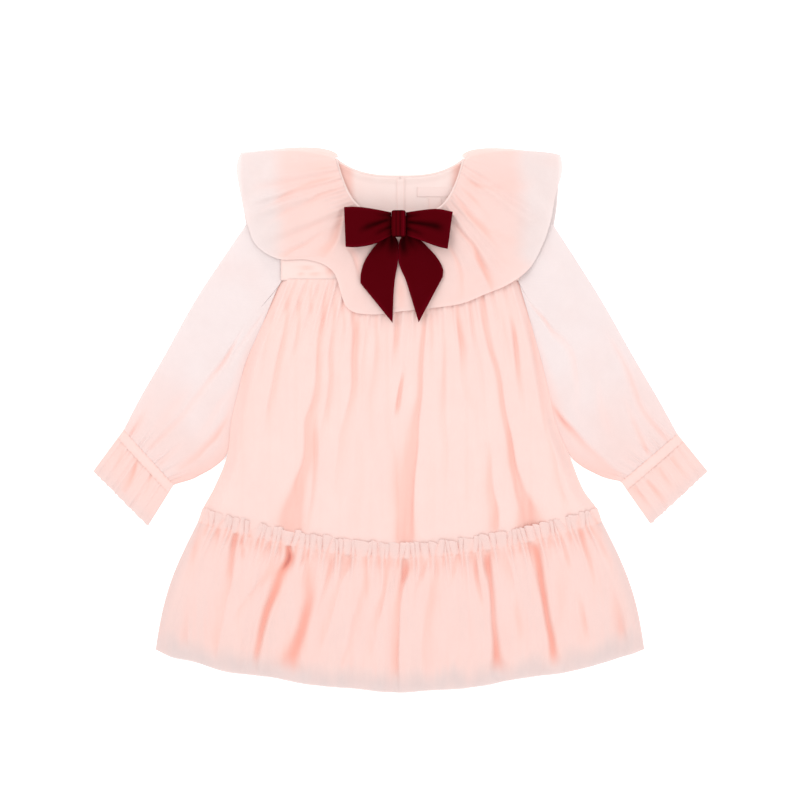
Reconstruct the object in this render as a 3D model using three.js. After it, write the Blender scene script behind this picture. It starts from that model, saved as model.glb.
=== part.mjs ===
// A toddler's party dress laid flat on its back: sheer net over a lining, a wide gathered cape collar,
// long sleeves with banded and frilled cuffs, a gathered hem tier with a standing heading, and a velvet bow.
// Millimetres, +Z up. The surface that it lies on is z = 0, +Y points to the neck, and +X to the right.
import * as THREE from "three";

// One layer of cloth, made as a wall, and the space that any two pieces keep.
const CLOTH = 1.2;
const PLEATED_CLOTH = 1.4;
const VELVET = 1.6;
const GAP = 0.3;
const LAYER = CLOTH + GAP;
const SEAM = GAP / 2;

// Neckline, shoulders and seams, measured on the dress as it lies.
const NECK_HALF_WIDTH = 59;
const SHOULDER_NECK_Y = 246;
const FRONT_NECK_Y = 194;
const BACK_NECK_Y = 230.5;
const SHOULDER_HALF_WIDTH = 111;
const SHOULDER_DROP = 6;
const YOKE_SEAM_Y = 131;
const YOKE_SEAM_HALF = 112;
const TIER_SEAM_Y = -130;
const TIER_SEAM_RISE = 34;
const TIER_SEAM_HALF = 190;
const HEM_Y = -256;
const HEM_RISE = 41;
const HEM_HALF = 230;
const HEADING = 14;
const NET_BELOW_LINING = 21;
const LINING_INSET = 14;
const BINDING_WIDTH = 4;
const BINDING_DEPTH = 3;

// Counts of gathers. Each one is a wave of the wall, drawn with four columns.
const WAVE_COLUMNS = 4;
const BODY_GATHERS = 16;
const TIER_GATHERS = 26;
const COLLAR_GATHERS = 16;
const CUFF_GATHERS = 10;

// Rows of the walls. down runs from the yoke seam, 0, to the tier seam, 1, or from the tier seam to the hem.
const BODY_ROWS = [0, 0.08, 0.15, 0.25, 0.45, 0.68, 0.88, 0.94, 1];
const TIER_BACK_ROWS = [-1, 0, 0.3, 0.65, 1];
const TIER_FRONT_ROWS = [-1, -0.5, 0, 0.1, 0.28, 0.52, 0.84, 1];
const LINING_ROWS = [...BODY_ROWS, 1.04, 1.12, 1.4, 1.7, 2];

// Heights of the layers of the dress above what lies under them.
const LINING_BACK = LAYER;
const LINING_FRONT = 2 * LAYER;
const FRONT = 3 * LAYER;
const FRONT_YOKE = 4.5;

// Side edges of the body, from the tier seam up to the yoke seam.
const BODY_SIDES = [
  { y: -104, left: -188, right: 189 },
  { y: -88, left: -186, right: 186 },
  { y: -64, left: -175, right: 172 },
  { y: -32, left: -163, right: 160 },
  { y: 0, left: -159, right: 147 },
  { y: 35, left: -151, right: 139 },
  { y: 60, left: -144, right: 133 },
  { y: 91, left: -131, right: 125 },
  { y: 131, left: -113, right: 112 },
];

// How high the front of the body stands above its lowest level, from the yoke seam, 0, to the tier seam, 1.
const BODY_PUFF = [
  { down: 0, height: 1 },
  { down: 0.12, height: 1.9 },
  { down: 0.3, height: 4.2 },
  { down: 0.6, height: 5.6 },
  { down: 0.88, height: 6 },
  { down: 0.95, height: 3.6 },
  { down: 1, height: 0.6 },
];

// Troughs between the folds of the front: where across they lie at their top and bottom, from 0 at the left
// edge to 1, their depth, their width at top and bottom, and the stretch down the panel that they run.
const BODY_TROUGHS = [
  { top: 0.2, bottom: 0.212, depth: 6, topWidth: 5, bottomWidth: 15, from: 0, to: 1.3 },
  { top: 0.49, bottom: 0.52, depth: 6, topWidth: 5, bottomWidth: 11, from: 0, to: 1.3 },
  { top: 0.6, bottom: 0.52, depth: 4, topWidth: 4, bottomWidth: 6, from: 0.05, to: 0.75 },
  { top: 0.835, bottom: 0.838, depth: 6, topWidth: 5, bottomWidth: 14, from: 0, to: 1.3 },
  { top: 0.34, bottom: 0.26, depth: 3, topWidth: 4, bottomWidth: 6, from: 0, to: 0.7 },
  { top: 0.115, bottom: 0.12, depth: 3, topWidth: 4, bottomWidth: 7, from: 0.1, to: 0.65 },
  { top: 0.71, bottom: 0.63, depth: 3, topWidth: 4, bottomWidth: 6, from: 0.05, to: 0.8 },
  { top: 0.84, bottom: 0.735, depth: 3, topWidth: 4, bottomWidth: 8, from: 0.45, to: 1.2 },
  { top: 0.93, bottom: 0.95, depth: 3, topWidth: 4, bottomWidth: 6, from: 0.1, to: 0.6 },
];
const TIER_TROUGHS = [
  { top: 0.09, bottom: 0.13, depth: 4, topWidth: 7, bottomWidth: 9, from: -0.1, to: 0.8 },
  { top: 0.23, bottom: 0.212, depth: 7, topWidth: 9, bottomWidth: 8, from: -0.1, to: 1.3 },
  { top: 0.3, bottom: 0.268, depth: 6, topWidth: 7, bottomWidth: 11, from: 0.15, to: 1.3 },
  { top: 0.455, bottom: 0.44, depth: 4, topWidth: 6, bottomWidth: 7, from: -0.05, to: 0.55 },
  { top: 0.51, bottom: 0.497, depth: 7, topWidth: 9, bottomWidth: 7, from: -0.1, to: 1.3 },
  { top: 0.6, bottom: 0.585, depth: 4, topWidth: 6, bottomWidth: 9, from: 0.2, to: 0.9 },
  { top: 0.715, bottom: 0.703, depth: 6, topWidth: 7, bottomWidth: 8, from: -0.05, to: 1.2 },
  { top: 0.81, bottom: 0.822, depth: 7, topWidth: 10, bottomWidth: 7, from: -0.1, to: 1.1 },
  { top: 0.89, bottom: 0.885, depth: 4, topWidth: 6, bottomWidth: 8, from: 0, to: 0.85 },
];
const COLLAR_TROUGHS = [
  { top: 0.13, bottom: 0.13, depth: 2, topWidth: 5, bottomWidth: 8, from: 0, to: 0.75 },
  { top: 0.19, bottom: 0.18, depth: 2, topWidth: 4, bottomWidth: 7, from: 0, to: 0.45 },
  { top: 0.36, bottom: 0.37, depth: 4, topWidth: 5, bottomWidth: 10, from: 0, to: 1.2 },
  { top: 0.64, bottom: 0.62, depth: 3, topWidth: 5, bottomWidth: 8, from: 0.2, to: 1.3 },
  { top: 0.69, bottom: 0.68, depth: 4, topWidth: 5, bottomWidth: 9, from: 0.1, to: 1.2 },
  { top: 0.78, bottom: 0.75, depth: 3, topWidth: 5, bottomWidth: 8, from: 0, to: 0.8 },
  { top: 0.85, bottom: 0.84, depth: 2, topWidth: 4, bottomWidth: 7, from: 0, to: 0.5 },
  { top: 0.9, bottom: 0.9, depth: 2, topWidth: 4, bottomWidth: 8, from: 0, to: 0.8 },
];

// Outer edge of the collar's front half, from its left corner, 0, round the chest to its right corner, 1.
const COLLAR_EDGE = [
  { round: 0, x: -150, y: 252 },
  { round: 0.06, x: -154, y: 236 },
  { round: 0.12, x: -151, y: 207 },
  { round: 0.2, x: -146, y: 182 },
  { round: 0.27, x: -134, y: 163 },
  { round: 0.33, x: -113, y: 151 },
  { round: 0.385, x: -84, y: 150 },
  { round: 0.425, x: -62, y: 138 },
  { round: 0.455, x: -50, y: 106 },
  { round: 0.49, x: -28, y: 99 },
  { round: 0.53, x: 2, y: 102 },
  { round: 0.58, x: 30, y: 105 },
  { round: 0.63, x: 57, y: 109 },
  { round: 0.69, x: 80, y: 118 },
  { round: 0.75, x: 103, y: 128 },
  { round: 0.81, x: 122, y: 143 },
  { round: 0.87, x: 137, y: 164 },
  { round: 0.92, x: 145, y: 184 },
  { round: 0.96, x: 149, y: 212 },
  { round: 0.985, x: 153, y: 236 },
  { round: 1, x: 151, y: 250 },
];
// The collar's back half ends on a rounded outline, and this is its half width, its depth and its roundness.
const COLLAR_BACK = { halfWidth: 154, top: 250, depth: 147, power: 3 };

// The two long edges of each sleeve, from the armhole, 0, to the cuff, 1, for the left sleeve and the right.
const SLEEVE_EDGES = {
  left: [
    { along: 0, outerX: -112.2, outerY: 235, innerX: -131.5, innerY: 91 },
    { along: 0.18, outerX: -147, outerY: 181, innerX: -146, innerY: 58 },
    { along: 0.4, outerX: -190, outerY: 117, innerX: -157, innerY: 14 },
    { along: 0.62, outerX: -222, outerY: 60, innerX: -166, innerY: -34 },
    { along: 0.82, outerX: -245, outerY: 20, innerX: -190, innerY: -53 },
    { along: 1, outerX: -260, outerY: -9, innerX: -213, innerY: -61 },
  ],
  right: [
    { along: 0, outerX: 112.2, outerY: 235, innerX: 125.8, innerY: 91 },
    { along: 0.18, outerX: 146, outerY: 181, innerX: 136, innerY: 58 },
    { along: 0.4, outerX: 187, outerY: 117, innerX: 147, innerY: 14 },
    { along: 0.62, outerX: 220, outerY: 59, innerX: 162, innerY: -34 },
    { along: 0.82, outerX: 244, outerY: 18, innerX: 187, innerY: -52 },
    { along: 1, outerX: 261, outerY: -13, innerX: 208, innerY: -58 },
  ],
};
// Soft folds along the sleeves: across at the armhole end and the cuff end, 0 at the inner edge.
const SLEEVE_TROUGHS = {
  left: [
    { top: 0.1, bottom: 0.6, depth: 2, topWidth: 5, bottomWidth: 5, from: 0.2, to: 1 },
    { top: 0.02, bottom: 0.3, depth: 2, topWidth: 4, bottomWidth: 6, from: 0.35, to: 1 },
    { top: 0.6, bottom: 0.8, depth: 1.4, topWidth: 6, bottomWidth: 4, from: 0.6, to: 1.1 },
  ],
  right: [
    { top: 0.02, bottom: 0.34, depth: 2.4, topWidth: 4, bottomWidth: 6, from: 0.3, to: 1 },
    { top: 0.2, bottom: 0.25, depth: 2, topWidth: 8, bottomWidth: 5, from: 0.05, to: 0.6 },
    { top: 0.85, bottom: 0.75, depth: 2, topWidth: 5, bottomWidth: 5, from: 0.35, to: 1.1 },
  ],
};
// Cuffs: the band's width, and the frill's two outer corners past it.
const CUFF_BAND = 9.5;
const CUFF_CORNERS = {
  left: { outerX: -286, outerY: -45, innerX: -239, innerY: -96 },
  right: { outerX: 287, outerY: -48, innerX: 239, innerY: -95 },
};

// The bow, from the knot outwards. Loops: half width of the ribbon at the knot and at the end.
const KNOT = { left: -7.5, right: 5, low: 172, high: 195, depth: 15 };
const BOW_BASE = 12.45;
const LOOP_DEPTH = 10;
const LOOPS = {
  left: [
    { out: 0, x: -7.8, low: 173, high: 194 },
    { out: 0.35, x: -24, low: 165, high: 197 },
    { out: 0.7, x: -39, low: 162, high: 199 },
    { out: 1, x: -53.5, low: 162, high: 199 },
  ],
  right: [
    { out: 0, x: 5.3, low: 173, high: 194 },
    { out: 0.35, x: 20, low: 168, high: 196 },
    { out: 0.7, x: 34, low: 163, high: 197 },
    { out: 1, x: 46, low: 160, high: 194.5 },
  ],
};
const TAILS = {
  left: [
    { down: 0, leftX: -7, leftY: 178, rightX: -2, rightY: 177 },
    { down: 0.2, leftX: -22, leftY: 165, rightX: -3, rightY: 160 },
    { down: 0.45, leftX: -32, leftY: 151, rightX: -3.5, rightY: 145 },
    { down: 0.75, leftX: -36.5, leftY: 138, rightX: -6, rightY: 118 },
    { down: 1, leftX: -37, leftY: 129, rightX: -8.5, rightY: 93 },
  ],
  right: [
    { down: 0, leftX: -1, leftY: 177, rightX: 4, rightY: 178 },
    { down: 0.2, leftX: -1, leftY: 158, rightX: 22, rightY: 166 },
    { down: 0.45, leftX: 2, leftY: 143, rightX: 34, rightY: 153 },
    { down: 0.75, leftX: 9.5, leftY: 118, rightX: 38.5, rightY: 142 },
    { down: 1, leftX: 17, leftY: 94, rightX: 39, rightY: 135 },
  ],
};

// Inside the back of the neck: the closing strip and two bare labels.
const PLACKET = { left: -3.5, right: 4.5, bottom: 133, top: 227 };
const LABELS = {
  label_main: { left: 16, right: 52, bottom: 210, top: 219 },
  label_size: { left: 27, right: 39, bottom: 197, top: 209 },
};

const clamp = (value) => Math.min(1, Math.max(0, value));
const mix = (a, b, share) => a + (b - a) * share;
const wave = (turns) => Math.cos(2 * Math.PI * turns);

function smooth(from, to, value) {
  const share = clamp((value - from) / (to - from));
  return share * share * (3 - 2 * share);
}

// Reads one column of a table at a key between its rows, on a smooth curve through them.
function read(table, key, column, at) {
  const last = table.length - 2;
  const next = table.findIndex((row) => row[key] > at);
  const i = next < 0 ? last : Math.min(Math.max(next - 1, 0), last);
  const slope = (n) => {
    const a = table[Math.max(n - 1, 0)];
    const b = table[Math.min(n + 1, last + 1)];
    return (b[column] - a[column]) / (b[key] - a[key]);
  };
  const [start, end] = [table[i], table[i + 1]];
  const span = end[key] - start[key];
  const t = clamp((at - start[key]) / span);
  const [t2, t3] = [t * t, t * t * t];
  return (
    (2 * t3 - 3 * t2 + 1) * start[column] +
    (t3 - 2 * t2 + t) * span * slope(i) +
    (3 * t2 - 2 * t3) * end[column] +
    (t3 - t2) * span * slope(i + 1)
  );
}

// The depth of all the troughs of a table at a place across and down a panel of the given width.
function troughs(table, across, down, width) {
  let depth = 0;
  for (const t of table) {
    const share = clamp((down - t.from) / (t.to - t.from));
    const fade = smooth(0, 0.12, share) * (1 - smooth(0.7, 1, share));
    const off = (across - mix(t.top, t.bottom, clamp(down))) * width;
    depth += t.depth * fade * Math.exp(-((off / mix(t.topWidth, t.bottomWidth, clamp(down))) ** 2));
  }
  return depth;
}

// Where gather number g of a row stands, in turns, so that no two are alike.
const uneven = (across, count, seed) =>
  across * count + 0.22 * Math.sin(across * 23 + seed) + 0.16 * Math.sin(across * 41 + 2.3 * seed);

// A closed solid between two grids, with its rows at the given stops. place(across, stop, side) gives a
// point, on side 0 under and on side 1 over.
function wall(columns, stops, place, round = false) {
  const across = round ? columns : columns + 1;
  const rows = stops.length - 1;
  const points = [];
  const faces = [];
  for (const side of [0, 1]) {
    for (const stop of stops) {
      for (let i = 0; i < across; i++) points.push(...place(i / columns, stop, side));
    }
  }
  const at = (side, i, j) => (side * (rows + 1) + j) * across + (i % across);
  const quad = (a, b, c, d) => faces.push(a, b, c, a, c, d);
  for (let i = 0; i < columns; i++) {
    for (let j = 0; j < rows; j++) {
      quad(at(1, i, j), at(1, i + 1, j), at(1, i + 1, j + 1), at(1, i, j + 1));
      quad(at(0, i, j), at(0, i, j + 1), at(0, i + 1, j + 1), at(0, i + 1, j));
    }
    quad(at(0, i, 0), at(0, i + 1, 0), at(1, i + 1, 0), at(1, i, 0));
    quad(at(1, i, rows), at(1, i + 1, rows), at(0, i + 1, rows), at(0, i, rows));
  }
  for (let j = 0; j < rows && !round; j++) {
    quad(at(1, 0, j), at(1, 0, j + 1), at(0, 0, j + 1), at(0, 0, j));
    quad(at(0, columns, j), at(0, columns, j + 1), at(1, columns, j + 1), at(1, columns, j));
  }
  return solid(points, faces);
}

// A closed solid from rings of points, with a flat cap at each end. place(v, turn) gives a point.
function loft(rings, around, place) {
  const points = [];
  const faces = [];
  for (let j = 0; j <= rings; j++) {
    for (let i = 0; i < around; i++) points.push(...place(j / rings, i / around));
  }
  for (let j = 0; j < rings; j++) {
    for (let i = 0; i < around; i++) {
      const [a, b] = [j * around + i, j * around + ((i + 1) % around)];
      faces.push(a, b, b + around, a, b + around, a + around);
    }
  }
  const end = rings * around;
  for (let i = 1; i < around - 1; i++) faces.push(0, i + 1, i, end, end + i, end + i + 1);
  return solid(points, faces);
}

const evenly = (count) => Array.from({ length: count + 1 }, (_, n) => n / count);

// A geometry whose faces all point out, whichever way its grid was wound.
function solid(points, faces) {
  let volume = 0;
  const [a, b, c] = [new THREE.Vector3(), new THREE.Vector3(), new THREE.Vector3()];
  for (let f = 0; f < faces.length; f += 3) {
    a.fromArray(points, faces[f] * 3);
    b.fromArray(points, faces[f + 1] * 3);
    c.fromArray(points, faces[f + 2] * 3);
    volume += a.dot(b.cross(c));
  }
  if (volume < 0) faces.reverse();
  const geometry = new THREE.BufferGeometry();
  geometry.setAttribute("position", new THREE.Float32BufferAttribute(points, 3));
  geometry.setIndex(faces);
  geometry.computeVertexNormals();
  return geometry;
}

// Plan curves.
const shoulderY = (x) =>
  SHOULDER_NECK_Y -
  (SHOULDER_DROP * (Math.abs(x) - NECK_HALF_WIDTH)) / (SHOULDER_HALF_WIDTH - NECK_HALF_WIDTH);
const frontNeckY = (x) =>
  FRONT_NECK_Y + (SHOULDER_NECK_Y - FRONT_NECK_Y) * (Math.abs(x) / NECK_HALF_WIDTH) ** 4.5;
const backNeckY = (x) =>
  BACK_NECK_Y + (SHOULDER_NECK_Y - BACK_NECK_Y) * (Math.abs(x) / NECK_HALF_WIDTH) ** 3;
const tierSeamY = (x) => TIER_SEAM_Y + TIER_SEAM_RISE * Math.abs(x / TIER_SEAM_HALF) ** 1.7;
const hemY = (x) =>
  HEM_Y + HEM_RISE * Math.abs(x / HEM_HALF) ** 2.1 + 1.6 * Math.sin(x / 17 + 0.6) * Math.sin(x / 41);

// A place outside the neck opening's edge, on the front or on the back. round goes from 0, left, to 1.
function neckPoint(curve, round, outside) {
  const x = -NECK_HALF_WIDTH * Math.cos(Math.PI * round);
  const step = 0.01;
  const [x0, x1] = [Math.max(x - step, -NECK_HALF_WIDTH), Math.min(x + step, NECK_HALF_WIDTH)];
  const along = new THREE.Vector2(x1 - x0, curve(x1) - curve(x0)).normalize();
  return [x + along.y * outside, curve(x) - along.x * outside];
}

// How far the collar's back half and the back tier's heading lift what lies on them.
function lift(x, y) {
  const { halfWidth, top, depth, power } = COLLAR_BACK;
  const out = Math.hypot(
    Math.abs(x / halfWidth) ** (power / 2),
    Math.max(0, (top - y) / depth) ** (power / 2),
  );
  const collar = 1 - smooth(1.18, 1.38, out);
  const aboveSeam = y - tierSeamY(x);
  const heading = smooth(-12, -2, aboveSeam) * (1 - smooth(HEADING + 3, HEADING + 16, aboveSeam));
  return LAYER * Math.max(collar, Math.abs(x) < TIER_SEAM_HALF + 12 ? heading : 0);
}

// Yokes, which run from the shoulders and the neck binding down to the yoke seam. from and to say which
// stretch is made, from the left armhole, 0, to the right one, 1, and the back opens at its middle.
function yokeTop(share, neck) {
  const mirror = share > 0.5 ? -1 : 1;
  const fromSide = Math.min(share, 1 - share);
  const shoulder = [-SHOULDER_HALF_WIDTH, shoulderY(SHOULDER_HALF_WIDTH) - BINDING_WIDTH];
  const round = mix(0.04, 0.96, Math.max(0, fromSide - 0.2) / 0.6);
  const atNeck = neckPoint(neck, round, BINDING_WIDTH + GAP);
  const x = mix(shoulder[0], atNeck[0], clamp(fromSide / 0.2));
  return [mirror * x, mix(shoulder[1], atNeck[1], clamp(fromSide / 0.2))];
}
function yoke(columns, rows, from, to, neck, bottomZ) {
  return wall(columns, evenly(rows), (u, v, side) => {
    const [topX, topY] = yokeTop(mix(from, to, u), neck);
    const inside = from === 0 && to === 1 ? topX : Math.sign(from + to - 1) * Math.max(Math.abs(topX), SEAM);
    const y = mix(topY, YOKE_SEAM_Y + SEAM, v);
    return [inside, y, bottomZ(inside, y) + side * CLOTH];
  });
}
const frontYokeZ = (x, y) => {
  const fromShoulder = shoulderY(x) - BINDING_WIDTH - y;
  const level = LAYER + FRONT_YOKE * smooth(160, 132, y) + (FRONT_YOKE - 0.6) * (1 - smooth(160, 132, y));
  return mix(2 * LAYER, level, smooth(0, 14, fromShoulder) * smooth(0, 8, SHOULDER_HALF_WIDTH - Math.abs(x)));
};

// Body: the plan of either panel, and the front's height above what lies under it.
function bodyPlan(across, down) {
  const roughY = mix(YOKE_SEAM_Y, mix(TIER_SEAM_Y, -100, (2 * across - 1) ** 2), down);
  const x = mix(
    read(BODY_SIDES, "y", "left", roughY),
    read(BODY_SIDES, "y", "right", roughY),
    across,
  );
  return [x, mix(YOKE_SEAM_Y - SEAM, tierSeamY(x) + GAP, down)];
}
function bodyRise(across, down) {
  const width = mix(2 * YOKE_SEAM_HALF, 2 * TIER_SEAM_HALF, down);
  const gathered = mix(0.9, 0.25, smooth(0.05, 0.5, down)) * (1 - smooth(0.9, 1, down));
  const gather = gathered * wave(uneven(across, BODY_GATHERS, 1));
  const deep = troughs(BODY_TROUGHS, across, down, width) * smooth(0, 0.25, down + 0.08);
  const rise = read(BODY_PUFF, "down", "height", down) + gather - deep * (1 - smooth(0.93, 1, down));
  const atSide = smooth(0, 0.03, across) * smooth(0, 0.03, 1 - across);
  return mix(LAYER, FRONT + Math.max(0.2, rise), atSide);
}
function frontBody() {
  return wall(BODY_GATHERS * WAVE_COLUMNS, BODY_ROWS, (u, v, side) => {
    const [x, y] = bodyPlan(u, v);
    return [x, y, lift(x, y) + bodyRise(u, v) + side * PLEATED_CLOTH];
  });
}
function backBody() {
  return wall(16, BODY_ROWS, (u, v, side) => {
    const [x, y] = bodyPlan(u, v);
    return [x, y, lift(x, y) + side * CLOTH];
  });
}

// Tier: down is 0 at the seam, 1 at the hem, and under 0 in the heading above the seam.
function tierPlan(across, down) {
  const seamX = mix(-TIER_SEAM_HALF, TIER_SEAM_HALF, across);
  const hemX = mix(-HEM_HALF, HEM_HALF, across);
  const side = 2 * across - 1;
  const bow = 7 * Math.sin(Math.PI * clamp(down)) * side * side * side;
  const fall = Math.hypot(hemX - seamX, hemY(hemX) - tierSeamY(seamX));
  const share = down < 0 ? (down * HEADING) / fall : down;
  return [mix(seamX, hemX, share) + bow, mix(tierSeamY(seamX), hemY(hemX), share)];
}
const tierSide = (across) => smooth(0, 0.03, across) * smooth(0, 0.03, 1 - across);
function tierRise(across, down) {
  const width = mix(2 * TIER_SEAM_HALF, 2 * HEM_HALF, clamp(down));
  const turns = uneven(across, TIER_GATHERS, 2);
  if (down <= 0) {
    const standing = FRONT + PLEATED_CLOTH + GAP + 1.4 - 6 * down;
    return mix(LAYER + PLEATED_CLOTH + GAP, standing + (0.9 - 1.5 * down) * wave(turns), tierSide(across));
  }
  const fine = mix(1.7, 0.5, smooth(0, 0.6, down)) * wave(turns);
  const flute = 2 * smooth(0.1, 0.9, down) * wave(turns / 2 + 0.2);
  const puff = mix(3.2, 6.6, smooth(0, 0.35, down)) - 1.6 * smooth(0.7, 1, down);
  const rise = puff + fine + flute - troughs(TIER_TROUGHS, across, down, width);
  const level = mix(FRONT, LAYER + 0.4, smooth(0.85, 0.98, down));
  return mix(LAYER, level + Math.max(0.2, rise), tierSide(across));
}
function frontTier() {
  return wall(TIER_GATHERS * WAVE_COLUMNS, TIER_FRONT_ROWS, (u, v, side) => {
    const [x, y] = tierPlan(u, v);
    return [x, y, lift(x, y) + tierRise(u, v) + side * PLEATED_CLOTH];
  });
}
function backTier() {
  return wall(24, TIER_BACK_ROWS, (u, v, side) => {
    const [x, y] = tierPlan(u, v);
    return [x, y, side * CLOTH];
  });
}

// The lining hangs from the yoke seam and ends above the net's hem, with its side edges further in.
function lining(level) {
  return wall(12, LINING_ROWS, (u, v, side) => {
    const [x, y] = v < 1 ? bodyPlan(u, v) : tierPlan(u, v - 1);
    const half = v < 1 ? mix(YOKE_SEAM_HALF, TIER_SEAM_HALF, v) : mix(TIER_SEAM_HALF, HEM_HALF, v - 1);
    const lined = x * (1 - LINING_INSET / half);
    const shortY = y + NET_BELOW_LINING * Math.max(0, v - 1);
    return [lined, shortY, lift(lined, shortY) + level + side * CLOTH];
  });
}

// Collar: round goes along the neckline, and down from it to the outer edge.
function collarPlan(round, down) {
  const [neckX, neckY] = neckPoint(frontNeckY, round, BINDING_WIDTH + 1.5 * GAP);
  const x = mix(neckX, read(COLLAR_EDGE, "round", "x", round), down);
  const y = mix(neckY, read(COLLAR_EDGE, "round", "y", round), down);
  const nearFold = 1 - smooth(0, 0.08, Math.min(round, 1 - round));
  const crest = 17 * down ** 0.45 * (1 - down) ** 0.8 * nearFold;
  return [x, y + crest];
}
function collarBase(x, y) {
  const overBody = 8 + 3.2 * smooth(156, 128, y);
  const overSleeve = mix(overBody, 8.2, smooth(116, 128, Math.abs(x)));
  const sleeveEdge = SHOULDER_HALF_WIDTH + 0.61 * (240 - y);
  return mix(overSleeve, LAYER + 0.2, smooth(2, 24, Math.abs(x) - sleeveEdge));
}
function collarRise(round, down, x, y) {
  const turns = uneven(round, COLLAR_GATHERS, 3);
  const gather = mix(0.8, 1.8, down) * (1 + wave(turns)) * smooth(0, 0.1, Math.min(round, 1 - round));
  const besideBow = smooth(0.16, 0.25, Math.abs(round - 0.5));
  const puff = 2.4 * Math.sin(Math.PI * down) * mix(0.2, 1, besideBow);
  const deep = troughs(COLLAR_TROUGHS, round, down, mix(170, 420, down));
  const rise = Math.max(0, puff + gather * mix(0.15, 1, besideBow) - deep);
  const fold = smooth(0, 0.065, Math.min(round, 1 - round));
  return mix(LAYER, collarBase(x, y) + rise, fold);
}
function frontCollar() {
  return wall(COLLAR_GATHERS * WAVE_COLUMNS, evenly(6), (u, v, side) => {
    const [x, y] = collarPlan(u, v);
    return [x, y, collarRise(u, v, x, y) + side * PLEATED_CLOTH];
  });
}
// One half of the collar's back, which lies flat under the dress. side is -1 on the left and 1 on the right.
function backCollar(side) {
  const { halfWidth, top, depth, power } = COLLAR_BACK;
  return wall(14, evenly(4), (u, v, over) => {
    const turn = (Math.PI / 2) * u;
    const [neckX, neckY] = neckPoint(backNeckY, u / 2, BINDING_WIDTH + GAP);
    const edgeX = -halfWidth * Math.cos(turn) ** (2 / power);
    const edgeY = top - depth * Math.sin(turn) ** (2 / power);
    const crest = 17 * v ** 0.45 * (1 - v) ** 0.8 * (1 - smooth(0, 0.16, u));
    const x = Math.min(mix(neckX, edgeX, v), -SEAM);
    return [-side * x, mix(neckY, edgeY, v) + crest, over * CLOTH];
  });
}

// A tube pressed flat between two edges: on side 1 its outer face, on side 0 its inner one. ends(v) gives
// the edges' places, top(across, v) the height of its upper layer, and shift(across, v) moves it sideways.
function flatTube(columns, stops, ends, top, shift = () => 0) {
  const edgeZ = 2.2;
  const place = (u, v, side) => {
    const { outerX, outerY, innerX, innerY } = ends(v);
    const turn = 2 * Math.PI * u;
    const inset = side ? 0 : CLOTH / Math.hypot(outerX - innerX, outerY - innerY);
    const across = mix(inset, 1 - inset, (1 - Math.cos(turn)) / 2);
    const x = mix(innerX, outerX, across) + shift(across, v);
    const y = mix(innerY, outerY, across);
    const round = Math.abs(Math.sin(turn));
    if (round < 1e-9) return [x, y, lift(x, y) + edgeZ];
    const upper = mix(edgeZ, top((1 - Math.cos(turn)) / 2, v), round ** 0.6) - (side ? 0 : CLOTH);
    const lower = edgeZ * (1 - round ** 0.35) + (side ? 0 : CLOTH);
    return [x, y, lift(x, y) + (Math.sin(turn) > 0 ? upper : lower)];
  };
  return wall(columns, stops, place, true);
}
const edgesOf = (table, along) => ({
  outerX: read(table, "along", "outerX", along),
  outerY: read(table, "along", "outerY", along),
  innerX: read(table, "along", "innerX", along),
  innerY: read(table, "along", "innerY", along),
});
// How far the armhole's curve stands in from the straight line between a sleeve's two edges.
function armholeShift(hand, across) {
  const [start] = SLEEVE_EDGES[hand];
  const mirror = Math.sign(start.outerX);
  const y = mix(start.innerY, start.outerY, across);
  const bodySide = y < YOKE_SEAM_Y ? mirror * read(BODY_SIDES, "y", hand, y) + SEAM : 0;
  const armhole = mirror * (Math.max(bodySide, SHOULDER_HALF_WIDTH) + GAP);
  return armhole - mix(start.innerX, start.outerX, across);
}
function sleeve(hand) {
  const top = (across, v) => {
    const folds = troughs(SLEEVE_TROUGHS[hand], across, v, mix(150, 75, v));
    const gather = 0.5 * smooth(0.75, 1, v) * wave(uneven(across, CUFF_GATHERS / 2, 4));
    return 4.6 + 0.6 * smooth(0, 0.2, v) + 0.9 * Math.sin(Math.PI * v) + gather - 0.9 * folds;
  };
  const shift = (across, v) => (1 - smooth(0, 0.25, v)) * armholeShift(hand, across);
  return flatTube(24, evenly(10), (v) => edgesOf(SLEEVE_EDGES[hand], v), top, shift);
}
// The stretch of a cuff from start to end, in millimetres past the sleeve's end.
function cuffEdges(hand, start, end, v) {
  const sleeveEnd = SLEEVE_EDGES[hand].at(-1);
  const corners = CUFF_CORNERS[hand];
  const long = 0.5 * Math.hypot(corners.outerX - sleeveEnd.outerX, corners.outerY - sleeveEnd.outerY) +
    0.5 * Math.hypot(corners.innerX - sleeveEnd.innerX, corners.innerY - sleeveEnd.innerY);
  const share = mix(start, end, v) / long;
  const result = {};
  for (const key of ["outerX", "outerY", "innerX", "innerY"]) {
    result[key] = mix(sleeveEnd[key], corners[key], share > 0.97 ? 1 : share);
  }
  return result;
}
function cuffBand(hand) {
  return flatTube(24, evenly(1), (v) => cuffEdges(hand, GAP, CUFF_BAND, v), () => 6);
}
function cuffFrill(hand) {
  const ends = (v) => cuffEdges(hand, CUFF_BAND + GAP, 42, v);
  return flatTube(CUFF_GATHERS * WAVE_COLUMNS, evenly(2), ends, (across, v) => {
    const turns = uneven(across, CUFF_GATHERS / 2, hand === "left" ? 5 : 6);
    return 4.6 + mix(0.5, 1.1, v) * wave(turns) + 0.6 * v;
  });
}

// A rounded strip along an edge of the neck opening.
function binding(curve, level) {
  return loft(32, 6, (v, turn) => {
    const angle = 2 * Math.PI * turn;
    const outside = BINDING_WIDTH / 2 - (BINDING_WIDTH / 2) * Math.cos(angle);
    const round = mix(0.02, 0.98, v);
    const [x, y] = neckPoint(curve, round, outside);
    return [x, y, level(round) + (BINDING_DEPTH / 2) * (1 + Math.sin(angle))];
  });
}
const frontBindingZ = (round) => 3.4 + 3.4 * smooth(0.02, 0.3, round) * smooth(0.02, 0.3, 1 - round);

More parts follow.
